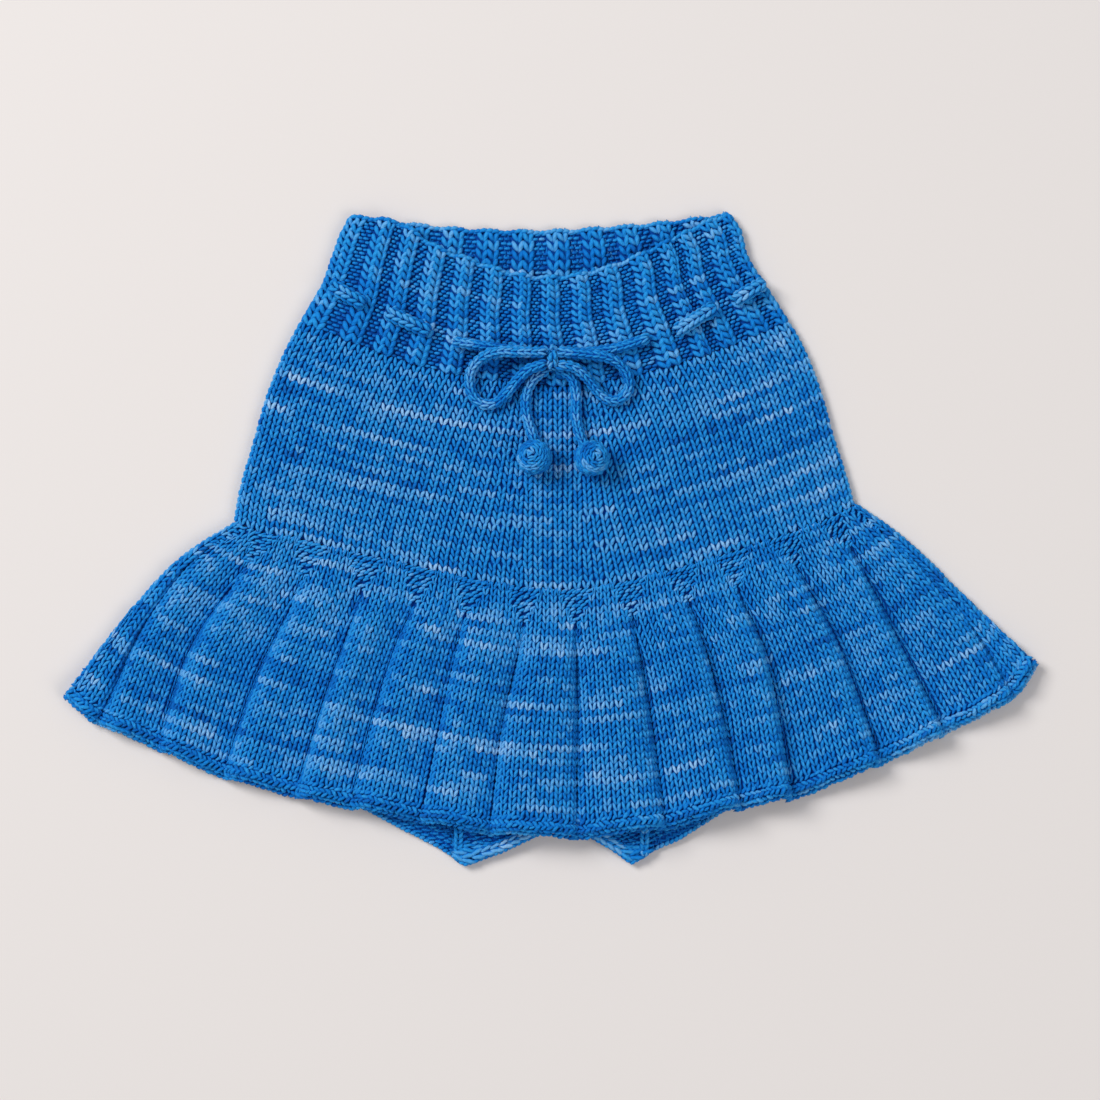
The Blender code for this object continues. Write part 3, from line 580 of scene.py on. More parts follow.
def knitted_ball(node, axis, started):
    low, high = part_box(node)
    centre = np.array([(a + b) / 2 / MM for a, b in zip(low, high)])
    axis = unit(np.array(axis))
    side = unit(np.cross(axis, [0.0, 1.0, 0.3]))
    other = np.cross(axis, side)
    reach = BALL_RADIUS - 0.5 * YARN
    height = np.pi * reach / BALL_ROWS
    stitches = Knitting()
    for row in range(BALL_ROWS):
        polar = np.pi * (row + 0.45) / (BALL_ROWS - 0.1)
        count = max(3, int(round(2 * np.pi * reach * np.sin(polar) / BALL_STITCH)))
        turn = 2 * np.pi * (np.arange(count) + BALL_SWIRL * row) / count
        outward = np.cos(turn)[:, None] * side + np.sin(turn)[:, None] * other
        facing = np.cos(polar) * axis + np.sin(polar) * outward
        onward = np.cos(turn)[:, None] * other - np.sin(turn)[:, None] * side
        width = 2 * np.pi * reach * np.sin(polar) / count
        stitches.add("knit", centre + facing * reach, facing, onward,
                     np.array(BALL_LARGER) * (height, width, YARN),
                     dye_along(started + row * BALL_ROW_DYE + turn * BALL_TURN_DYE))
    mesh = bmesh.new()
    bmesh.ops.create_uvsphere(mesh, u_segments=18, v_segments=12,
                              radius=(reach - BALL_CORE_DEPTH) * MM)
    bmesh.ops.translate(mesh, verts=mesh.verts, vec=Vector(centre) * MM)
    for made in mesh.faces:
        made.smooth = True
    data = bpy.data.meshes.new(node + "_core")
    mesh.to_mesh(data)
    mesh.free()
    data.materials.append(inner_wool)
    name = "knitted_" + node
    ball = join([stitches.make(name + "_stitches"), put_in_scene(name + "_core", data)], name)
    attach(ball, "root")
    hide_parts(node)
    return ball


for side_name in ("left", "right"):
    ball = knitted_ball("ball_" + side_name, BALL_AXES["ball_" + side_name], started=900.0)
    route = TAIL_ROUTES["tail_" + side_name]
    tail, points = knitted_cord("tail_" + side_name, route, started=500.0 + 40 * route[0][0])

# Stretches of the drawstring between the ribs
# Where the cord comes out of the ribbing and goes back in, a short length lies across
# one rib, with both of its ends drawn down into the furrows.
WALL = 2.4                 # of knitting, and so the height of the back
SEAM_GAP = 0.3             # between the back and the front at the side edges
FRONT_LIFT = 3.2           # how far the front stands off the back in the middle
SIDE_FULLNESS = 6.0        # the higher, the closer to the side edges that lift is reached
STRETCH_DRAWN = 6.0        # the cord lies flattened over the ribs, so it looks broader
STRETCH_ABOVE = 0.9        # between the front and the cord in the middle of a stretch
STRETCH_ENDS_DOWN = 1.6
STRETCH_SHORTER = 0.08     # at each end, where the cord dives into the ribbing
STRETCHES = {
    "stretch_left_outer": ((-97.0, 113.9), (-84.4, 106.7)),
    "stretch_left_inner": ((-72.2, 102.2), (-55.1, 94.1)),
    "stretch_right_inner": ((56.5, 94.1), (73.6, 104.9)),
    "stretch_right_outer": ((83.5, 108.5), (95.4, 115.7)),
}
# The side edges above the flounce: y, and x on the left and on the right
SIDES = np.array([
    (7.0, -142.4, 139.0), (20.7, -140.2, 135.6), (34.0, -136.6, 131.6), (47.7, -132.5, 127.1),
    (61.0, -128.9, 123.5), (74.7, -124.0, 119.0), (88.0, -118.1, 113.2), (101.7, -110.5, 105.1),
    (115.0, -102.8, 96.5), (128.5, -97.9, 88.4), (142.0, -92.5, 84.4), (147.0, -89.5, 80.5),
])


def side_at(y, left):
    return smooth(SIDES[:, 0], SIDES[:, 1 if left else 2], y)


def fullness(u):
    """How fully the front stands off the back, from 0 at the side edges to 1."""
    return 1.0 - np.abs(2 * np.clip(u, 0.0, 1.0) - 1) ** SIDE_FULLNESS


for node, ((x0, y0), (x1, y1)) in STRETCHES.items():
    route = []
    for share in np.linspace(STRETCH_SHORTER, 1.0 - STRETCH_SHORTER, 7):
        x = x0 + (x1 - x0) * share
        y = y0 + (y1 - y0) * share
        left, right = side_at(y, True), side_at(y, False)
        front = 2 * WALL + SEAM_GAP + FRONT_LIFT * fullness((x - left) / (right - left))
        ends_down = STRETCH_ENDS_DOWN * (2 * share - 1) ** 4
        route.append((x, y, front + CORD / 2 + STRETCH_ABOVE - ends_down))
    knitted_cord(node, route, started=1700.0 + 5 * x0, across=STRETCH_DRAWN)

# Waistband
# Ribbing of two knit and two purl, knitted on from the top of the body and bound off.
# The front dips in the middle, so the inside of the back shows above it.
EDGE_IN = 0.9              # the shells stay this far inside the outline that the stitches reach
SHELL_DEPTH = 1.2          # outer face of a shell below the tops of the stitches
SHELL = 0.8
SINK = 0.66                # of the stitches' own line below the cloth's outer face
PRESSED_SINK = 0.92
PRESSED = 1.5              # thickness of yarn that is pressed flat
OVERLAP = 1.04             # each stitch is this much longer than its row
RIB_HEIGHT = 1.4
FURROW_DEPTH = 1.3
FURROW_DARKER = 0.14       # in tone, as little light reaches into a furrow
# Middles of the ribs, in shares of the width, with one beyond each side edge
FRONT_RIBS = np.array([-0.060, 0.013, 0.098, 0.162, 0.229, 0.304, 0.379, 0.454, 0.523, 0.603, 0.678,
                       0.763, 0.832, 0.879, 0.946, 1.013])
BACK_RIBS = np.arange(-1, 13) / 11
BACK_RIB_HEIGHT, BACK_FURROW_DEPTH = 1.0, 0.15
RIB_STEEPNESS = 1.6
RIB_ROWS = 16
# Columns of knit stitches from the middle of a rib, and of purl ones from that of a furrow,
# in shares of a rib with its furrow
KNIT_OFFSET, PURL_OFFSET = 0.156, 0.092
KNIT_WIDTH, PURL_WIDTH = 2.3, 2.1    # of a column, in its own offsets
PURL_LEAN, PURL_ASIDE = 0.12, 0.22   # strands in the furrows lean, and lie left and right by turns
PURL_STRAND = (2.4, 1.7)   # height and thickness of such a strand
ROUND = 560.0              # length of one row of knitting round the body
CHAIN_STITCH = 4.6
BOUND_OFF = (2.7, (4.2, 3.0, 2.2), 0.28)   # spacing, size and lean of the strands of the edge
FRONT_EDGE_WAVE, BACK_EDGE_WAVE = 0.9, 0.7   # the bound-off edge rises over the ribs by this
FRONT_EDGE_DOWN, BACK_EDGE_DOWN = 0.5, 0.4   # below the tops of the stitches
EDGE_BELOW = 0.5           # in the furrows it lies this far below its line
EDGE_FACING = (0.0, 0.45, 1.0)
BACK_GROUND_DEPTH, BACK_GROUND = 1.1, 0.4    # the ground of the back is thin
LEAST_GROUND = 1.1         # and stays this high, above the pressed stitches of the underside
UNDER_WIDTH, UNDER_STITCH = 195.0, 4.2       # of the underside of the band and of its columns
UNDER_SHORTER = 1.8        # the pressed rows end this far below the bound-off edge
FRONT_SHADE, BACK_SHADE = 0.03, 0.09         # painted shade: how much darker, in tone, each of them is drawn

# The bound-off edges, the start of the body and the seam of the flounce, as x and y
FRONT_WAIST = np.array([
    (-90.2, 145.4), (-76.7, 144.5), (-66.4, 141.4), (-54.7, 133.4), (-33.5, 125.1), (-17.3, 119.9),
    (1.1, 118.2), (21.8, 121.4), (41.6, 128.7), (59.2, 137.3), (67.3, 141.5), (80.8, 147.0),
])
BACK_WAIST = np.array([
    (-90.2, 145.4), (-72.2, 143.6), (-45.2, 140.6), (-9.2, 139.3), (26.8, 140.9), (62.8, 144.4),
    (80.8, 147.0),
])
RIB_EDGE = np.array([
    (-112.7, 98.5), (-90.2, 89.5), (-61.0, 79.2), (-22.7, 72.0), (-0.2, 69.8), (22.3, 71.4),
    (42.5, 75.4), (82.6, 88.2), (107.0, 98.5),
])
SEAM = np.array([
    (-142.0, 8.6), (-133.9, 5.0), (-112.7, 1.0), (-93.4, -4.1), (-69.5, -9.2), (-45.7, -14.7),
    (-20.0, -19.6), (4.3, -21.8), (25.0, -20.0), (39.8, -16.6), (62.3, -10.8), (87.1, -3.2),
    (109.1, 4.1), (131.6, 13.0), (138.4, 16.6),
])


def on_edge(edge, x):
    return smooth(edge[:, 0], edge[:, 1], x)


def rib_share(u, ribs):
    wave = 0.5 + 0.5 * np.cos(2 * np.pi * np.interp(u, ribs, range(len(ribs))))
    return np.clip(0.5 + RIB_STEEPNESS * (wave - 0.5), 0.0, 1.0)


class Face:
    """One face of a piece of cloth: a grid of points by place across and place down."""

    def __init__(self, across, down, form, outward=1.0, folded=False):
        self.across = np.asarray(across, float)
        self.down = np.asarray(down, float)
        self.points = np.stack(form(*np.meshgrid(self.across, self.down)), axis=-1)
        self.outward = outward
        self.folded = folded

    def point(self, u, t):
        u, t = np.broadcast_arrays(np.asarray(u, float), np.asarray(t, float))
        i = np.clip(np.searchsorted(self.across, u, side="right") - 1, 0, len(self.across) - 2)
        j = np.clip(np.searchsorted(self.down, t, side="right") - 1, 0, len(self.down) - 2)
        a = ((u - self.across[i]) / (self.across[i + 1] - self.across[i]))[..., None]
        b = ((t - self.down[j]) / (self.down[j + 1] - self.down[j]))[..., None]
        grid = self.points
        return ((grid[j, i] * (1 - a) + grid[j, i + 1] * a) * (1 - b)
                + (grid[j + 1, i] * (1 - a) + grid[j + 1, i + 1] * a) * b)

    def frame(self, u, t):
        """Point, change across, change up the columns, and facing direction."""
        u, t = np.broadcast_arrays(np.asarray(u, float), np.asarray(t, float))
        step = 0.5 * (self.across[-1] - self.across[0]) / len(self.across)
        first, last = self.across[0], self.across[-1]
        if self.folded:
            first = np.minimum(np.floor(u), self.across[-1] - 1.0)
            last = first + PANEL_END
        before = np.clip(u - step, first, last)
        after = np.clip(u + step, first, last)
        step = 0.5 * (self.down[-1] - self.down[0]) / len(self.down)
        above = np.clip(t - step, self.down[0], self.down[-1])
        below = np.clip(t + step, self.down[0], self.down[-1])
        across = (self.point(after, t) - self.point(before, t)) / (after - before)[..., None]
        up = (self.point(u, above) - self.point(u, below)) / (below - above)[..., None]
        return self.point(u, t), across, up, unit(np.cross(across, up)) * self.outward


def cloth_between(name, outer, inner):
    """A thin closed sheet between two grids of points."""
    rows, columns = outer.shape[:2]
    vertices = np.concatenate([outer.reshape(-1, 3), inner.reshape(-1, 3)])
    vertices[:, 2] = np.maximum(vertices[:, 2], RESTING)
    number = np.arange(rows * columns).reshape(rows, columns)
    a, b = number[:-1, :-1].ravel(), number[1:, :-1].ravel()
    c, d = number[1:, 1:].ravel(), number[:-1, 1:].ravel()
    back = rows * columns
    faces = list(zip(a, b, c, d)) + list(zip(a + back, d + back, c + back, b + back))
    border = np.concatenate([number[0, :-1], number[:-1, -1], number[-1, :0:-1], number[:0:-1, 0]])
    after = np.roll(border, -1)
    faces += list(zip(border, after, after + back, border + back))
    data = bpy.data.meshes.new(name)
    data.from_pydata(vertices * MM, [], [tuple(int(v) for v in face) for face in faces])
    mesh = bmesh.new()
    mesh.from_mesh(data)
    bmesh.ops.recalc_face_normals(mesh, faces=mesh.faces)
    mesh.to_mesh(data)
    mesh.free()
    data.shade_smooth()
    data.materials.append(inner_wool)
    return put_in_scene(name, data)


def cloth(name, face, depth=SHELL_DEPTH, thick=SHELL):
    """The dark ground of a face, below its stitches."""
    u, t = np.meshgrid(face.across, face.down)
    place, _, _, facing = face.frame(u, t)
    return cloth_between(name, place - facing * depth, place - facing * (depth + thick))


def finish_panel(ground, stitches, node):
    """A panel is its ground of cloth with its stitches on it."""
    for piece in [ground, *stitches]:
        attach(piece, "root")
    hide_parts(node)


def panel(top_edge, bottom_edge, top_sides, bottom_sides, height):
    """Places of a panel of the waistband or the body, from its edges and its height."""
    left_x = [float(side_at(ends[0], True)) for ends in (top_sides, bottom_sides)]
    right_x = [float(side_at(ends[1], False)) for ends in (top_sides, bottom_sides)]

    def form(u, t):
        left = side_at(top_sides[0] + (bottom_sides[0] - top_sides[0]) * t, True) + EDGE_IN
        right = side_at(top_sides[1] + (bottom_sides[1] - top_sides[1]) * t, False) - EDGE_IN
        top = on_edge(top_edge, left_x[0] + (right_x[0] - left_x[0]) * u)
        bottom = on_edge(bottom_edge, left_x[1] + (right_x[1] - left_x[1]) * u)
        return left + (right - left) * u, top + (bottom - top) * t, height(u, t) + 0 * u

    return form


def knit_columns(stitches, face, columns, rows, started, sink=SINK, thick=YARN, darker=0.0):
    """Whole columns of stitches, each a place across, a kind and a width as a share of it."""
    for u, kind, share in columns:
        steps = rows * (2 if kind == "bump" else 1)
        row = (np.arange(steps) + 0.5) / steps * rows
        beside = 0.0 if steps == rows else PURL_ASIDE * share * (-1.0) ** np.arange(steps)
        t = row / rows
        place, across, up, facing = face.frame(np.full_like(t, u) + beside, t)
        width = np.linalg.norm(across, axis=1) * share
        height = np.linalg.norm(up, axis=1) / rows * OVERLAP
        size = np.stack([width, height, np.full_like(t, thick)], axis=1)
        if kind == "bump":
            up = unit(up) - PURL_LEAN * unit(across)
            size = np.stack([width, *[np.full_like(t, value) for value in PURL_STRAND]], axis=1)
        tone = dye_along(started + (rows - np.floor(row)) * ROUND + place[:, 0]) - darker
        tone -= FURROW_DARKER * (kind == "bump")
        stitches.add(kind, place - facing * sink, facing, up, size, tone)


def rib_columns(ribs):
    """A pair of knit columns on each rib and a pair of purl ones in each furrow."""
    numbers = np.arange(len(ribs))
    columns = []
    for rib in numbers[:-1]:
        for offset, kind, share in ((KNIT_OFFSET, "rib", KNIT_WIDTH * KNIT_OFFSET),
                                    (0.5 - PURL_OFFSET, "bump", PURL_WIDTH * PURL_OFFSET),
                                    (0.5 + PURL_OFFSET, "bump", PURL_WIDTH * PURL_OFFSET),
                                    (1.0 - KNIT_OFFSET, "rib", KNIT_WIDTH * KNIT_OFFSET)):
            u = np.interp(rib + offset, numbers, ribs)
            columns.append((u, kind, share * (ribs[rib + 1] - ribs[rib])))
    # A column that falls just past a side edge stands on it
    return [(min(max(u, 0.006), 0.994), kind, share) for u, kind, share in columns if -0.004 < u < 1.006]


def plain_columns(width, kind, pitch):
    count = int(round(width / pitch))
    return [((column + 0.5) / count, kind, 1.0 / count) for column in range(count)]


def chain_along(stitches, points, facing, width, started, darker=0.0):
    """A chain of stitches that lie along a line."""
    way = distances(points)
    count = int(round(way[-1] / CHAIN_STITCH))
    places = (np.arange(count) + 0.5) / count * way[-1]
    place = np.stack([np.interp(places, way, points[:, i]) for i in range(3)], axis=1)
    onward = unit(np.gradient(place, axis=0))
    stitches.add("knit", place, facing, onward, (width, CHAIN_STITCH * 1.08, YARN * 1.05),
                 dye_along(started + places) - darker)


def strands_along(stitches, points, facing, spacing, size, lean, started, darker=0.0):
    """Slanting strands side by side along a line, as a bound-off edge shows them."""
    way = distances(points)
    count = max(2, int(round(way[-1] / spacing)))
    places = (np.arange(count) + 0.5) / count * way[-1]
    place = np.stack([np.interp(places, way, points[:, i]) for i in range(3)], axis=1)
    onward = unit(np.gradient(place, axis=0))
    beside = unit(np.cross(np.broadcast_to(facing, onward.shape), onward))
    stitches.add("bump", place, facing, beside - lean * onward, size,
                 dye_along(started + places) - darker)


def side_column(stitches, face, u, rows, started):
    """The column of stitches that turns round a side edge, from the front to the back."""
    t = (np.arange(rows) + 0.5) / rows
    place, _, up, _ = face.frame(np.full_like(t, u), t)
    width = place[:, 2] * 0.95
    up[:, 2] = 0.0
    outward = unit(np.cross(unit(up), [0.0, 0.0, 1.0])) * (1.0 if u > 0.5 else -1.0)
    place = place * (1.0, 1.0, 0.5) + outward * (EDGE_IN - SINK)
    height = np.linalg.norm(up, axis=1) / rows * OVERLAP
    size = np.stack([width, height, np.full_like(t, YARN)], axis=1)
    stitches.add("knit", place, outward, up, size, dye_along(started + (rows - np.arange(rows)) * ROUND))


def front_height(u, t):
    return 2 * WALL + SEAM_GAP + FRONT_LIFT * fullness(u)


def front_rib_height(u, t):
    rib = rib_share(u, FRONT_RIBS)
    return front_height(u, t) + (RIB_HEIGHT * rib - FURROW_DEPTH * (1 - rib)) * fullness(u)


def back_rib_height(u, t):
    rib = rib_share(u, BACK_RIBS)
    return WALL + (BACK_RIB_HEIGHT * rib - BACK_FURROW_DEPTH * (1 - rib)) * fullness(u)


waist_top = (FRONT_WAIST[0, 1], FRONT_WAIST[-1, 1])
waist_bottom = (RIB_EDGE[0, 1], RIB_EDGE[-1, 1])
rib_down = np.linspace(0.0, 1.0, 17)
edge_u = np.linspace(0.0, 1.0, 181)

front_face = Face(np.linspace(0.0, 1.0, 151), rib_down,
                  panel(FRONT_WAIST, RIB_EDGE, waist_top, waist_bottom, front_rib_height))
knitting = Knitting()
knit_columns(knitting, front_face, rib_columns(FRONT_RIBS), RIB_ROWS, started=0.0, darker=FRONT_SHADE)
edge = front_face.point(edge_u, 0.0)
edge -= [0.0, EDGE_BELOW, FRONT_EDGE_DOWN]
edge[:, 1] += FRONT_EDGE_WAVE * rib_share(edge_u, FRONT_RIBS)
strands_along(knitting, edge, EDGE_FACING, *BOUND_OFF, started=120.0)
for u in (0.0, 1.0):
    side_column(knitting, front_face, u, RIB_ROWS, started=90.0)
finish_panel(cloth("waistband_front_cloth", front_face), [knitting.make("waistband_front_stitches")],
             "waistband_front")

back_form = panel(BACK_WAIST, RIB_EDGE, waist_top, waist_bottom, back_rib_height)
inner_face = Face(np.linspace(0.0, 1.0, 111), rib_down, back_form)
under_face = Face(np.linspace(0.0, 1.0, 41), rib_down,
                  panel(BACK_WAIST - (0.0, UNDER_SHORTER), RIB_EDGE, waist_top, waist_bottom,
                        lambda u, t: 0.0), outward=-1.0)
knitting = Knitting()
knit_columns(knitting, inner_face, rib_columns(BACK_RIBS), RIB_ROWS, started=6900.0, darker=BACK_SHADE)
knit_columns(knitting, under_face, plain_columns(UNDER_WIDTH, "knit_pressed", UNDER_STITCH), RIB_ROWS,
             started=8000.0, sink=PRESSED_SINK, thick=PRESSED)
edge = inner_face.point(edge_u, 0.0)
edge -= [0.0, EDGE_BELOW, BACK_EDGE_DOWN]
edge[:, 1] += BACK_EDGE_WAVE * rib_share(edge_u, BACK_RIBS)
strands_along(knitting, edge, EDGE_FACING, *BOUND_OFF, started=320.0)
ground = inner_face.points - (0.0, 0.0, BACK_GROUND_DEPTH)
ground[..., 2] = np.maximum(ground[..., 2], LEAST_GROUND)
finish_panel(cloth_between("waistband_back_cloth", ground, ground - (0.0, 0.0, BACK_GROUND)),
             [knitting.make("waistband_back_stitches")], "waistband_back")

# Body
# Smooth knitting, worked in the round from the waist down. New columns are made beside
# four upright ones in the middle, so the columns lean with the sides as those flare.
STITCH = 4.45              # width of one column
BODY_ROWS = 31
MIDDLE_X = 1.1
MIDDLE_COLUMNS = 4
NEW_AMONG = 5              # columns beside the middle ones that share the room left for a new one
BODY_DARKER = 0.03         # in tone, as the flat body gets more light than the pleats do
BACK_CLOTH = (1.0, 0.9)    # depth and thickness of the ground of a back


def body_rows(stitches, face, kind, sink, thick, started):
    for row in range(BODY_ROWS):
        t = (row + 0.5) / BODY_ROWS
        line = face.point(edge_u, t)
        way = distances(line)
        middle = np.interp(MIDDLE_X, line[:, 0], way)
        half = MIDDLE_COLUMNS / 2 * STITCH
        places = list(middle - half + (np.arange(MIDDLE_COLUMNS) + 0.5) * STITCH)
        widths = [STITCH] * MIDDLE_COLUMNS
        for room, origin, sense in ((middle - half, 0.0, 1.0), (way[-1] - middle - half, way[-1], -1.0)):
            count = int(round(room / STITCH))
            own = [STITCH] * (count - NEW_AMONG)
            own += [(room - sum(own)) / NEW_AMONG] * NEW_AMONG
            places += list(origin + sense * (np.cumsum(own) - np.array(own) / 2))
            widths += own
        places = np.array(places)
        place, _, up, facing = face.frame(np.interp(places, way, edge_u), t)
        height = np.linalg.norm(up, axis=1) / BODY_ROWS * OVERLAP
        size = np.stack([widths, height, np.full_like(height, thick)], axis=1)
        stitches.add(kind, place - facing * sink, facing, up, size,
                     dye_along(started + row * ROUND + places) - BODY_DARKER)


body_top = RIB_EDGE - (0.0, SEAM_GAP)
body_sides = ((body_top[0, 1], body_top[-1, 1]), (SEAM[0, 1], SEAM[-1, 1]))
front_body = Face(np.linspace(0.0, 1.0, 61), np.linspace(0.0, 1.0, 25),
                  panel(body_top, SEAM, *body_sides, front_height))
knitting = Knitting()
body_rows(knitting, front_body, "knit", SINK, YARN, started=12000.0)
for u in (0.0, 1.0):
    side_column(knitting, front_body, u, BODY_ROWS, started=12300.0)
finish_panel(cloth("body_front_cloth", front_body), [knitting.make("body_front_stitches")],
             "body_front")

back_body = Face(np.linspace(0.0, 1.0, 41), np.linspace(0.0, 1.0, 21),
                 panel(body_top, SEAM, *body_sides, lambda u, t: 0.0), outward=-1.0)
knitting = Knitting()
body_rows(knitting, back_body, "knit_pressed", PRESSED_SINK, PRESSED, started=32000.0)
finish_panel(cloth("body_back_cloth", back_body, *BACK_CLOTH), [knitting.make("body_back_stitches")],
             "body_back")

# Flounce
# Thirteen panels show in front, picked up along the seam with purl wedges between their
# narrow necks, and opening into pleats. The last rows roll up to the outside at the hem.
PLEAT_HEIGHT, HEM_PLEAT_HEIGHT, NECK_HEIGHT = 6.4, 5.4, 1.0   # below the seam, at the hem, at the seam
VALLEY_DEPTH = (2.4, 3.6)  # of the creases below the pleats' foot, in the middle and beside
PLEATS_OPEN = 0.30         # share of the way down at which the pleats are fully open
PLEATS_FLATTEN = (0.6, 0.9)    # and between which they get lower
# How far outward the crests lie, on the left and on the right, and how many panels from the
# middle they are all the way there
CREST_ASIDE, ASIDE_PANELS = (0.18, 0.27), 2.5
LEFT_SOFTER, SOFTER_FROM_X = 0.25, 90.0   # share of their height that the pleats on the left lack
PLEAT_FULLNESS = 24.0      # the pleats keep their height closer to the sides than the bed does
STRIP_HEIGHT = 0.85        # of the narrow folds along the side edges, in shares of a pleat
ROLL_HEIGHT, BACK_ROLL_HEIGHT = 2.0, 2.2
ROLL_START = 0.94          # share of the way down where the hem begins to roll
HEM_WAVE = 2.2             # the hem reaches this much lower in the creases
BACK_HEM_SHORTER = 5.0
# Folds of the back: depth, share of it at the hem, and share of a panel that lies flat
BACK_FOLD_DEPTH, BACK_FOLD_AT_HEM, FLAT_CREST = 1.2, 0.3, 0.6
# What the front lies on, above and at the hem: over the shorts, and beside them
LAYERED_LIFT, LAYERED_HEM_LIFT = 7.9, 9.6
PLAIN_LIFT, PLAIN_HEM_LIFT = 4.2, 5.4
SHORTS_ZONE = (92.0, 128.0)    # how far from the middle the one gives way to the other
LIFT_BY, HEM_LIFT = 0.14, (0.74, 0.9)   # shares of the way down at which the heights change
PANEL_END = 0.9999         # the far end of a panel, just before the next one starts
FLOUNCE_ROWS = 34
FLOUNCE_ROUND = 3.1        # length of one of its rows, in rows of the body
GATHERED = 1.5             # length of knitting in 1 mm across the pleats
FLOUNCE_STITCH = (3.9, 4.2)    # width of a column at the seam and at the hem
NECK_SHARE = 0.36          # share of a panel that is knit where it leaves the seam
NECK_SQUEEZE = 0.86        # of the columns there
WEDGE_END = 0.16           # share of the way down at which the purl wedges end
# Spacing, size and lean of the strands in a wedge and along the seam
WEDGE_STRAND = (2.5, (3.3, 2.2, 2.0), 0.6)
SEAM_STRAND = (3.1, (3.6, 2.0, 1.5), 0.5)
WEDGE_SINK = 0.8           # of how deep the columns lie
SWALLOWED_SINK = 0.35      # a column that runs into a crease lies this much deeper
CREASE_DARKER, CREASE_REACH = 0.26, 2.2   # little light reaches the stitches in a crease
# Rows of strands on the roll: share of the way down and lean
ROLL_STRANDS = ((0.934, 0.9), (0.951, -0.6), (0.968, 1.0), (0.985, -0.3), (1.0, 0.5))
ROLL_STRAND = (2.6, (4.0, 2.7, 2.3))         # spacing and size
# Depth of the roll's strands, and their painted shade: how much darker in tone they are drawn
ROLL_SINK, ROLL_PAINTED_SHADE = 0.75, 0.12
ROLL_WAVER, WAVER_LENGTH = 1.3, 9.0          # how far the rows waver, and over what length
# The same on the inside of the back, as far up as the pleats let it be seen
INSIDE_STRANDS = [(v, 0.5 * (-1) ** row) for row, v in enumerate(np.linspace(0.86, 1.0, 8))]
INSIDE_ROLL = 1.0
HEM = np.array([
    (-218.9, -70.7), (-207.2, -80.0), (-189.2, -87.8), (-171.2, -95.9), (-144.2, -106.4),
    (-117.2, -113.9), (-94.7, -118.2), (-60.5, -124.6), (-38.0, -129.2), (-12.8, -131.6),
    (10.1, -132.6), (40.3, -130.0), (59.2, -126.6), (80.8, -120.3), (106.0, -115.4),
    (122.2, -110.6), (143.8, -102.0), (161.8, -93.9), (179.8, -85.2), (197.8, -76.1),
    (212.6, -66.1), (218.9, -55.8),
])
# Each fold: x at the seam, x and y of two places on the way, and x at the hem
FOLDS = np.array([
    (-142.0, -164.9, -6.3, -190.6, -33.3, -218.9), (-139.0, -157.7, -5.1, -178.6, -30.3, -204.1),
    (-128.9, -135.2, -8.6, -160.9, -45.9, -176.8), (-107.3, -111.4, -15.8, -133.4, -64.4, -147.5),
    (-82.1, -84.8, -21.2, -100.1, -67.1, -115.0), (-58.3, -60.1, -25.2, -68.2, -44.6, -90.2),
    (-35.3, -37.1, -28.8, -41.2, -44.6, -58.7), (-11.9, -11.9, -32.4, -21.8, -83.7, -27.6),
    (11.5, 11.5, -33.8, 11.9, -82.4, 11.9), (35.3, 36.7, -32.4, 42.1, -65.3, 51.6),
    (58.7, 61.4, -24.8, 70.0, -50.4, 85.4), (81.2, 84.8, -23.9, 93.8, -44.6, 108.4),
    (105.1, 110.0, -9.9, 128.5, -44.6, 149.0), (127.6, 132.5, 1.8, 154.1, -40.1, 177.5),
    (136.4, 156.5, -1.3, 183.5, -29.0, 209.0), (138.4, 160.0, 0.5, 187.9, -26.5, 218.9),
])
PANELS = len(FOLDS) - 1


def ease(value, limits):
    """Rises smoothly from 0 to 1 while the value goes from the first limit to the second."""
    t = np.clip((value - limits[0]) / (limits[1] - limits[0]), 0.0, 1.0)
    return t * t * (3 - 2 * t)


def fold_line(fold, v):
    """x and y of a fold at shares v of the way down."""
    seam_x, top_x, top_y, mid_x, mid_y, hem_x = fold
    line = np.array([(seam_x, float(on_edge(SEAM, seam_x)) - SEAM_GAP), (top_x, top_y), (mid_x, mid_y),
                     (hem_x, float(on_edge(HEM, hem_x)))])
    way = distances(line)
    return smooth(way / way[-1], line[:, 0], v), smooth(way / way[-1], line[:, 1], v)


def off_crest(p):
    """Panel number, share across it, and 0 in its middle to 1 in the creases beside it."""
    k = np.clip(np.floor(p), 0, PANELS - 1).astype(int)
    s = np.clip(p - k, 0.0, 1.0)
    return k, s, np.abs(2 * s - 1)


def pleat_share(p, v):
    """Height of a pleat, from 0 in its creases to 1 on its crest.

    It is narrow at the seam and broad below. Towards the sides its crest lies outward, with
    a gentle slope on the inner side and a steep one on the outer.
    """
    k, s, off = off_crest(p)
    opened = np.clip(v / PLEATS_OPEN, 0.0, 1.0)
    narrow = (1 - off) ** 1.4
    aside = np.clip((k - (PANELS - 1) / 2) / ASIDE_PANELS, -1.0, 1.0)
    crest = 0.5 + np.where(aside > 0, CREST_ASIDE[1], CREST_ASIDE[0]) * aside
    before = s < crest
    down = np.clip(np.where(before, (crest - s) / crest, (s - crest) / (1 - crest)), 0.0, 1.0)
    flat = (1 - down ** 3.0) ** 0.7
    gentle = 1 - ease(down, (-0.15, 1.1))
    steep = np.where(aside > 0, (1 - down ** 3.0) ** 0.6, 1 - down ** 2.3)
    leaning = np.where(before == (aside > 0), gentle, steep)
    wide = flat + (leaning - flat) * np.abs(aside)
    pleat = narrow + (wide - narrow) * opened
    inward = np.where(k < 1, s, 1 - s)
    strip = STRIP_HEIGHT * np.sin(np.pi * inward) ** 0.7
    return np.where((k < 1) | (k > PANELS - 2), strip, pleat)


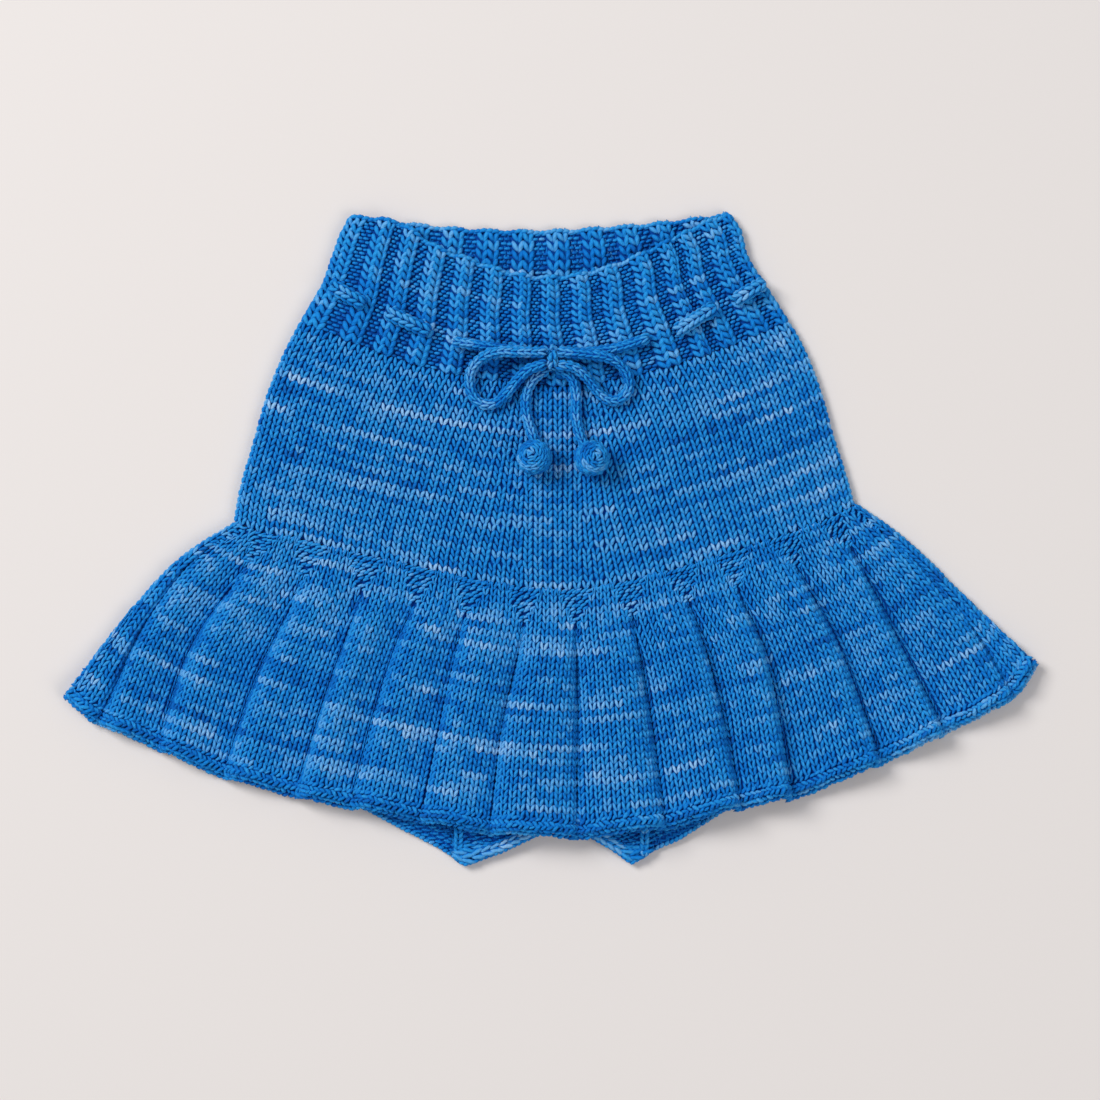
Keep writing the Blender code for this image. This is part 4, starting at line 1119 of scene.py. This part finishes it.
def flounce_place(p, v):
    """x and y at place p across, a panel number plus a share, and share v of the way down."""
    k, s, off = off_crest(p)
    lines = np.array([fold_line(fold, v) for fold in FOLDS])
    before = np.take_along_axis(lines, k[None, None], 0)[0]
    after = np.take_along_axis(lines, k[None, None] + 1, 0)[0]
    x, y = before + (after - before) * s
    for edge, column, weight in ((SEAM, 0, (1 - v) ** 2), (HEM, 5, v ** 2)):
        first, last = FOLDS[k, column], FOLDS[k + 1, column]
        chord = on_edge(edge, first) * (1 - s) + on_edge(edge, last) * s
        y = y + (on_edge(edge, first + (last - first) * s) - chord) * weight
    left, right = lines[0, 0], lines[-1, 0]
    return x, y, np.clip((x - left) / (right - left), 0.0, 1.0)


def flounce_front(p, v):
    """Outer face of the front: pleats on what lies under them, and the roll of the hem."""
    x, y, share = flounce_place(p, v)
    full = fullness(share)
    beside = ease(np.abs(x), SHORTS_ZONE)
    middle = LAYERED_LIFT + (PLAIN_LIFT - LAYERED_LIFT) * beside
    at_hem = LAYERED_HEM_LIFT + (PLAIN_HEM_LIFT - LAYERED_HEM_LIFT) * beside
    at_seam = WALL + SEAM_GAP + FRONT_LIFT
    bed = at_seam + (middle - at_seam) * ease(v, (0.0, LIFT_BY)) + (at_hem - middle) * ease(v, HEM_LIFT)
    edge = WALL + SEAM_GAP + BACK_ROLL_HEIGHT * ease(v, HEM_LIFT)
    bed = edge + (bed - edge) * full
    height = NECK_HEIGHT + (PLEAT_HEIGHT - NECK_HEIGHT) * ease(v, (0.0, PLEATS_OPEN))
    height = height + (HEM_PLEAT_HEIGHT - PLEAT_HEIGHT) * ease(v, PLEATS_FLATTEN)
    pleat = pleat_share(p, v)
    deep = VALLEY_DEPTH[0] + (VALLEY_DEPTH[1] - VALLEY_DEPTH[0]) * beside
    valley = deep * (1 - pleat) * ease(v, (0.0, PLEATS_OPEN))
    along = np.clip((v - ROLL_START) / (1 - ROLL_START), 0.0, 1.0)
    roll = ROLL_HEIGHT * np.sin(np.pi * along ** 0.8) - WALL * along ** 3
    y = y + HEM_WAVE * (pleat - 0.6) * v ** 6 * full
    pleated = 1.0 - np.abs(2 * share - 1) ** PLEAT_FULLNESS
    pleated = pleated * (1 - LEFT_SOFTER * ease(-x, (0.0, SOFTER_FROM_X)))
    return x, y, bed + WALL + (height * pleat - valley) * pleated + roll


def flounce_back(p, v):
    """Underside of the back: flat on the surface, with its folds lifted off it."""
    x, y, share = flounce_place(p, v)
    full = fullness(share)
    k, s, off = off_crest(p)
    crest = np.where((k < 1) | (k > PANELS - 2) | (off < FLAT_CREST), 1.0, pleat_share(p, v))
    recess = BACK_FOLD_DEPTH * (1 - crest) * full * ease(v, (0.0, PLEATS_OPEN))
    recess = recess * (1 - (1 - BACK_FOLD_AT_HEM) * ease(v, HEM_LIFT))
    return x, y + BACK_HEM_SHORTER * full * v, recess


def flounce_inside(p, v):
    """Inside of the back, which shows under the hem of the front."""
    x, y, z = flounce_back(p, v)
    return x, y, z + WALL + INSIDE_ROLL * ease(v, (ROLL_START, 1.0))


def flounce_rows(stitches, face, panels, kinds, sink, thick, started):
    """Columns at an even spacing from the middle of each panel, lost in the creases."""
    shares = np.linspace(0.0, PANEL_END, 41)
    for row in range(FLOUNCE_ROWS):
        v = (row + 0.3) / FLOUNCE_ROWS * ROLL_START
        opened = min(v / WEDGE_END, 1.0)
        pitch = FLOUNCE_STITCH[0] + (FLOUNCE_STITCH[1] - FLOUNCE_STITCH[0]) * v
        pitch *= NECK_SQUEEZE + (1 - NECK_SQUEEZE) * opened
        for k in panels:
            way = distances(face.point(k + shares, v))
            half = way[-1] / 2
            knit_half = half * (NECK_SHARE + (1 - NECK_SHARE) * opened)
            count = int(knit_half / pitch + 0.25)
            offsets = list((np.arange(-count, count) + 0.5) * pitch)
            widths = [pitch] * len(offsets)
            sinks = [0.0] * len(offsets)
            rest = knit_half - count * pitch
            if count == 0:
                offsets, widths, sinks = [0.0], [min(way[-1], pitch)], [0.0]
            elif rest > 0.2 * pitch:
                for sense in (-1.0, 1.0):
                    offsets.append(sense * (knit_half - rest * 0.4))
                    widths.append(max(rest, 0.6 * pitch))
                    sinks.append(SWALLOWED_SINK * opened)
            offsets, widths, sinks = np.array(offsets), np.array(widths), np.array(sinks)
            s = np.interp(half + offsets, way, shares)
            place, _, up, facing = face.frame(k + s, v)
            height = np.linalg.norm(up, axis=1) / FLOUNCE_ROWS * ROLL_START * OVERLAP
            size = np.stack([widths, height, np.full_like(height, thick)], axis=1)
            before = half + offsets if k > 0 else np.full_like(offsets, half)
            after = half - offsets if k < PANELS - 1 else np.full_like(offsets, half)
            shade = CREASE_DARKER * np.exp(-np.minimum(before, after) / CREASE_REACH) * opened
            tone = dye_along(started + row * FLOUNCE_ROUND * ROUND + place[:, 0] * GATHERED) - shade
            stitches.add(kinds[0], place - facing * (sink + sinks)[:, None], facing, up, size, tone)
            bare = half - knit_half
            spacing, size, lean = WEDGE_STRAND
            bumps = int(round(bare / spacing))
            if bumps == 0 or not 0 < k < PANELS - 1:
                continue
            for half_row in (0, 1):
                inward = (np.arange(bumps) + 0.3 + 0.4 * half_row) / bumps * bare
                s = np.interp(np.concatenate([inward, way[-1] - inward]), way, shares)
                lower = v + 0.5 * half_row / FLOUNCE_ROWS
                place, across, up, facing = face.frame(k + s, lower)
                leaning = unit(up) - lean * unit(across)
                stitches.add(kinds[1], place - facing * sink * WEDGE_SINK, facing, leaning, size,
                             dye_along(started + row * FLOUNCE_ROUND * ROUND + place[:, 0] * GATHERED))


def hem_roll(stitches, face, panels, strand_rows, started):
    """The rolled hem shows the purl side: slanting strands in rows along the edge."""
    spacing, size = ROLL_STRAND
    shares = np.linspace(0.0, PANEL_END, 31)
    for number, (v, lean) in enumerate(strand_rows):
        for k in panels:
            way = distances(face.point(k + shares, v))
            count = max(1, int(round(way[-1] / spacing)))
            s = np.interp((np.arange(count) + 0.25 + 0.5 * (number % 2)) / count * way[-1], way, shares)
            place, across, up, facing = face.frame(k + s, v)
            lot = np.round(place[:, 0] * 3 + number * 171 + 4000)
            leaning = (lean + 1.2 * (chance_at(lot) - 0.5))[:, None]
            waver = ROLL_WAVER * (wander(place[:, 0] / WAVER_LENGTH + 300) - 0.5)
            place = place + unit(up) * waver[:, None]
            varied = np.array(size) * (0.8 + 0.4 * chance_at(lot + 77))[:, None]
            # Painted shade: the roll's strands are drawn darker than the yarn's own tone
            tone = dye_along(started + number * 900.0 + place[:, 0] * 1.3) - ROLL_PAINTED_SHADE
            stitches.add("bump", place - facing * ROLL_SINK, facing, unit(up) - leaning * unit(across),
                         varied, tone)


def flounce_side(stitches, face, p, started):
    """The column of stitches that turns round a side edge of the flounce."""
    rows = FLOUNCE_ROWS + 2
    v = (np.arange(rows) + 0.5) / rows
    place, _, up, _ = face.frame(np.full_like(v, p), v)
    width = place[:, 2] * 0.9
    up[:, 2] = 0.0
    outward = unit(np.cross(unit(up), [0.0, 0.0, 1.0])) * (1.0 if p > 1 else -1.0)
    height = np.linalg.norm(up, axis=1) / rows * OVERLAP
    size = np.stack([width, height, np.full_like(v, YARN)], axis=1)
    stitches.add("knit", place * (1.0, 1.0, 0.5) - outward * SINK, outward, up, size,
                 dye_along(started + np.arange(rows) * ROUND))


# The grid is close where the creases and the roll bend most
within = np.array([0.0, 0.04, 0.09, 0.16, 0.26, 0.38, 0.5, 0.62, 0.74, 0.84, 0.91, 0.96, PANEL_END])
across = np.concatenate([k + within for k in range(PANELS)])
down = np.concatenate([np.linspace(0.0, 0.9, 31), np.linspace(0.915, 1.0, 11)])
front_flounce = Face(across, down, flounce_front, folded=True)
back_flounce = Face(across, np.linspace(0.0, 1.0, 25), flounce_back, outward=-1.0, folded=True)
inner_flounce = Face(across, down, flounce_inside, folded=True)
parts = {"left": range(0, 5), "middle": range(5, 10), "right": range(10, PANELS)}
made = {"front": [], "back": []}
for part, panels in parts.items():
    knitting = Knitting()
    flounce_rows(knitting, front_flounce, panels, ("knit", "bump"), SINK, YARN, started=52000.0)
    seam = front_flounce.point(np.linspace(panels[0], panels[-1] + PANEL_END, 60), 0.0)
    strands_along(knitting, seam - (0.0, 0.3, 0.8), (0.0, 0.0, 1.0), *SEAM_STRAND,
                  started=50000.0)
    hem_roll(knitting, front_flounce, panels, ROLL_STRANDS, started=88000.0)
    if part != "middle":
        side_p = 0.0 if part == "left" else PANELS - 1 + PANEL_END
        flounce_side(knitting, front_flounce, side_p, started=71000.0)
    made["front"].append(knitting.make("flounce_front_stitches_" + part))
    knitting = Knitting()
    flounce_rows(knitting, back_flounce, panels, ("knit_pressed", "purl_pressed"), PRESSED_SINK,
                 PRESSED, started=92000.0)
    hem_roll(knitting, back_flounce, panels, ROLL_STRANDS, started=128000.0)
    hem_roll(knitting, inner_flounce, panels, INSIDE_STRANDS, started=132000.0)
    made["back"].append(knitting.make("flounce_back_stitches_" + part))
finish_panel(cloth("flounce_front_cloth", front_flounce), made["front"], "flounce_front")
finish_panel(cloth("flounce_back_cloth", back_flounce, *BACK_CLOTH), made["back"], "flounce_back")

# Shorts
# The legs of the shorts show below the hem as two points. Their front is knitted onto a
# folded band, and left and right of it the inside of their back shows its purl side.
SHORTS_WALL = 1.8
SHORTS_START = 17.0        # below the seam
SHORTS_BED, SHORTS_OVER_HEM = 3.7, 5.4   # what they lie on: the flounce's back, and its hem
# Places above the hem of the flounce's back, between which they climb onto its roll, and
# between which they then fall to the surface
SHORTS_CLIMB = (15.5, 9.5)
SHORTS_FALL = (-1.0, -18.0)
SHORTS_FRONT_X = (-43.0, 44.3)
SHORTS_ROW = 2.6
SHORTS_STITCH = 3.6
SHORTS_LARGER = (1.1, 1.15)    # the stitches reach over each other by this
SHORTS_SINK, SHORTS_UNDER_SINK, FOLD_SINK = 0.5, 0.75, 0.2
INSIDE_DARKER, LEGS_DARKER = 0.28, 0.22   # in tone, as the flounce shades them
SHOWN_ROWS = 11            # above the edge, with the rest of the shorts under the flounce
FOLD_STITCH = 4.6          # width of the column on a fold
FOLD_COLUMNS = ((1.6, 6, 191000.0), (2.0, 7, 192000.0))   # place inside the front's edge, rows, dye
# Depth of the ground below the stitches, and its far side
BACK_LEGS_GROUND, FRONT_LEGS_GROUND = (0.95, 1.25), (1.0, 1.7)
SHORTS_EDGE = (2.4, (3.2, 3.2, 2.2), 0.7)   # spacing, size and lean of the strands of the edge
SHORTS_HEM = np.array([
    (-92.5, -116.6), (-67.7, -130.1), (-49.7, -139.4), (-38.5, -147.1), (-22.7, -141.3), (-2.5, -131.4),
    (7.0, -127.0), (17.8, -133.7), (29.0, -140.4), (36.7, -146.3), (44.8, -141.2), (58.3, -135.2),
    (69.5, -127.8), (79.9, -121.1),
])


def shorts_form(raised):
    """Places of a layer of the shorts: x by y, from under the flounce to the edge."""

    def form(x, t):
        top = on_edge(SEAM, x) - SHORTS_START
        bottom = np.interp(x, SHORTS_HEM[:, 0], SHORTS_HEM[:, 1]) + EDGE_IN
        y = top + (bottom - top) * t
        inside = y - on_edge(HEM, x) - BACK_HEM_SHORTER
        height = SHORTS_BED + (SHORTS_OVER_HEM - SHORTS_BED) * ease(inside, SHORTS_CLIMB)
        return x, y, height * (1 - ease(inside, SHORTS_FALL)) + raised

    return form


def shorts_rows(stitches, face, kind, sink, thick, started, lean=0.0, darker=0.0):
    """Rows that follow the slanting edge, from the edge upwards."""
    length = np.linalg.norm(face.point(face.across, 1.0) - face.point(face.across, 0.0), axis=1)
    for row in range(SHOWN_ROWS):
        way = distances(face.point(face.across, 1.0))
        count = int(way[-1] / SHORTS_STITCH)
        u = np.interp((np.arange(count) + 0.5 + 0.25 * (row % 2)) / count * way[-1], way, face.across)
        t = 1.0 - (row + 0.8) * SHORTS_ROW / np.interp(u, face.across, length)
        place, across, up, facing = face.frame(u, t)
        stitches.add(kind, place - facing * sink, facing, unit(up) + lean * unit(across),
                     (SHORTS_STITCH * SHORTS_LARGER[0], SHORTS_ROW * SHORTS_LARGER[1], thick),
                     dye_along(started + row * ROUND + place[:, 0]) - darker)


def fold_column(stitches, face, x, rows, started):
    """The column of knit stitches that stands on the fold of a leg."""
    length = np.linalg.norm(face.point(x, 1.0) - face.point(x, 0.0))
    t = 1.0 - (np.arange(rows) + 0.6) * SHORTS_ROW / length
    place, _, up, facing = face.frame(np.full_like(t, x), t)
    stitches.add("knit", place - facing * FOLD_SINK, facing, up,
                 (FOLD_STITCH, SHORTS_ROW * SHORTS_LARGER[1], YARN * 1.1),
                 dye_along(started + np.arange(rows) * ROUND))


def legs_ground(name, face, depths):
    """The dark ground below the stitches of a layer, with a quarter of its rows of points."""
    places = face.points[::4]
    return cloth_between(name, places - (0.0, 0.0, depths[0]), places - (0.0, 0.0, depths[1]))


across = np.linspace(SHORTS_HEM[0, 0], SHORTS_HEM[-1, 0], 141)
down = np.linspace(0.0, 1.0, 61)
inside_back = Face(across, down, shorts_form(SHORTS_WALL))
under_back = Face(across, down, shorts_form(0.0), outward=-1.0)
knitting = Knitting()
shorts_rows(knitting, inside_back, "purl", SHORTS_SINK, YARN, started=152000.0, darker=INSIDE_DARKER)
shorts_rows(knitting, under_back, "knit_pressed", SHORTS_UNDER_SINK, PRESSED, started=158000.0)
edge = inside_back.point(inside_back.across, 1.0)
strands_along(knitting, edge + (0.0, 0.6, -0.4), (0.0, -0.3, 1.0), *SHORTS_EDGE, started=164000.0)
finish_panel(legs_ground("shorts_back_cloth", inside_back, BACK_LEGS_GROUND),
             [knitting.make("shorts_back_stitches")], "shorts_back")

across = np.linspace(*SHORTS_FRONT_X, 81)
front_legs = Face(across, down, shorts_form(2 * SHORTS_WALL + SEAM_GAP))
knitting = Knitting()
shorts_rows(knitting, front_legs, "purl", SHORTS_SINK, YARN, started=172000.0, darker=LEGS_DARKER)
edge = front_legs.point(front_legs.across, 1.0)
strands_along(knitting, edge + (0.0, 0.4, -0.8), (0.0, -0.4, 1.0), *SHORTS_EDGE, started=176000.0)
# The folded band is two chains, one above the other
chain_along(knitting, edge + (0.0, 3.0, 0.5), (0.0, -0.1, 1.0), width=5.4, started=178000.0)
chain_along(knitting, edge + (0.0, 7.6, 0.4), (0.0, 0.0, 1.0), width=5.0, started=181000.0)
for x, inward, (inside, rows, started) in zip(SHORTS_FRONT_X, (1.0, -1.0), FOLD_COLUMNS):
    fold_column(knitting, front_legs, x + inward * inside, rows, started)
finish_panel(legs_ground("shorts_front_cloth", front_legs, FRONT_LEGS_GROUND),
             [knitting.make("shorts_front_stitches")], "shorts_front")

# The single stitches, which were only there to be repeated
for form in FORMS.values():
    bpy.data.objects.remove(form)
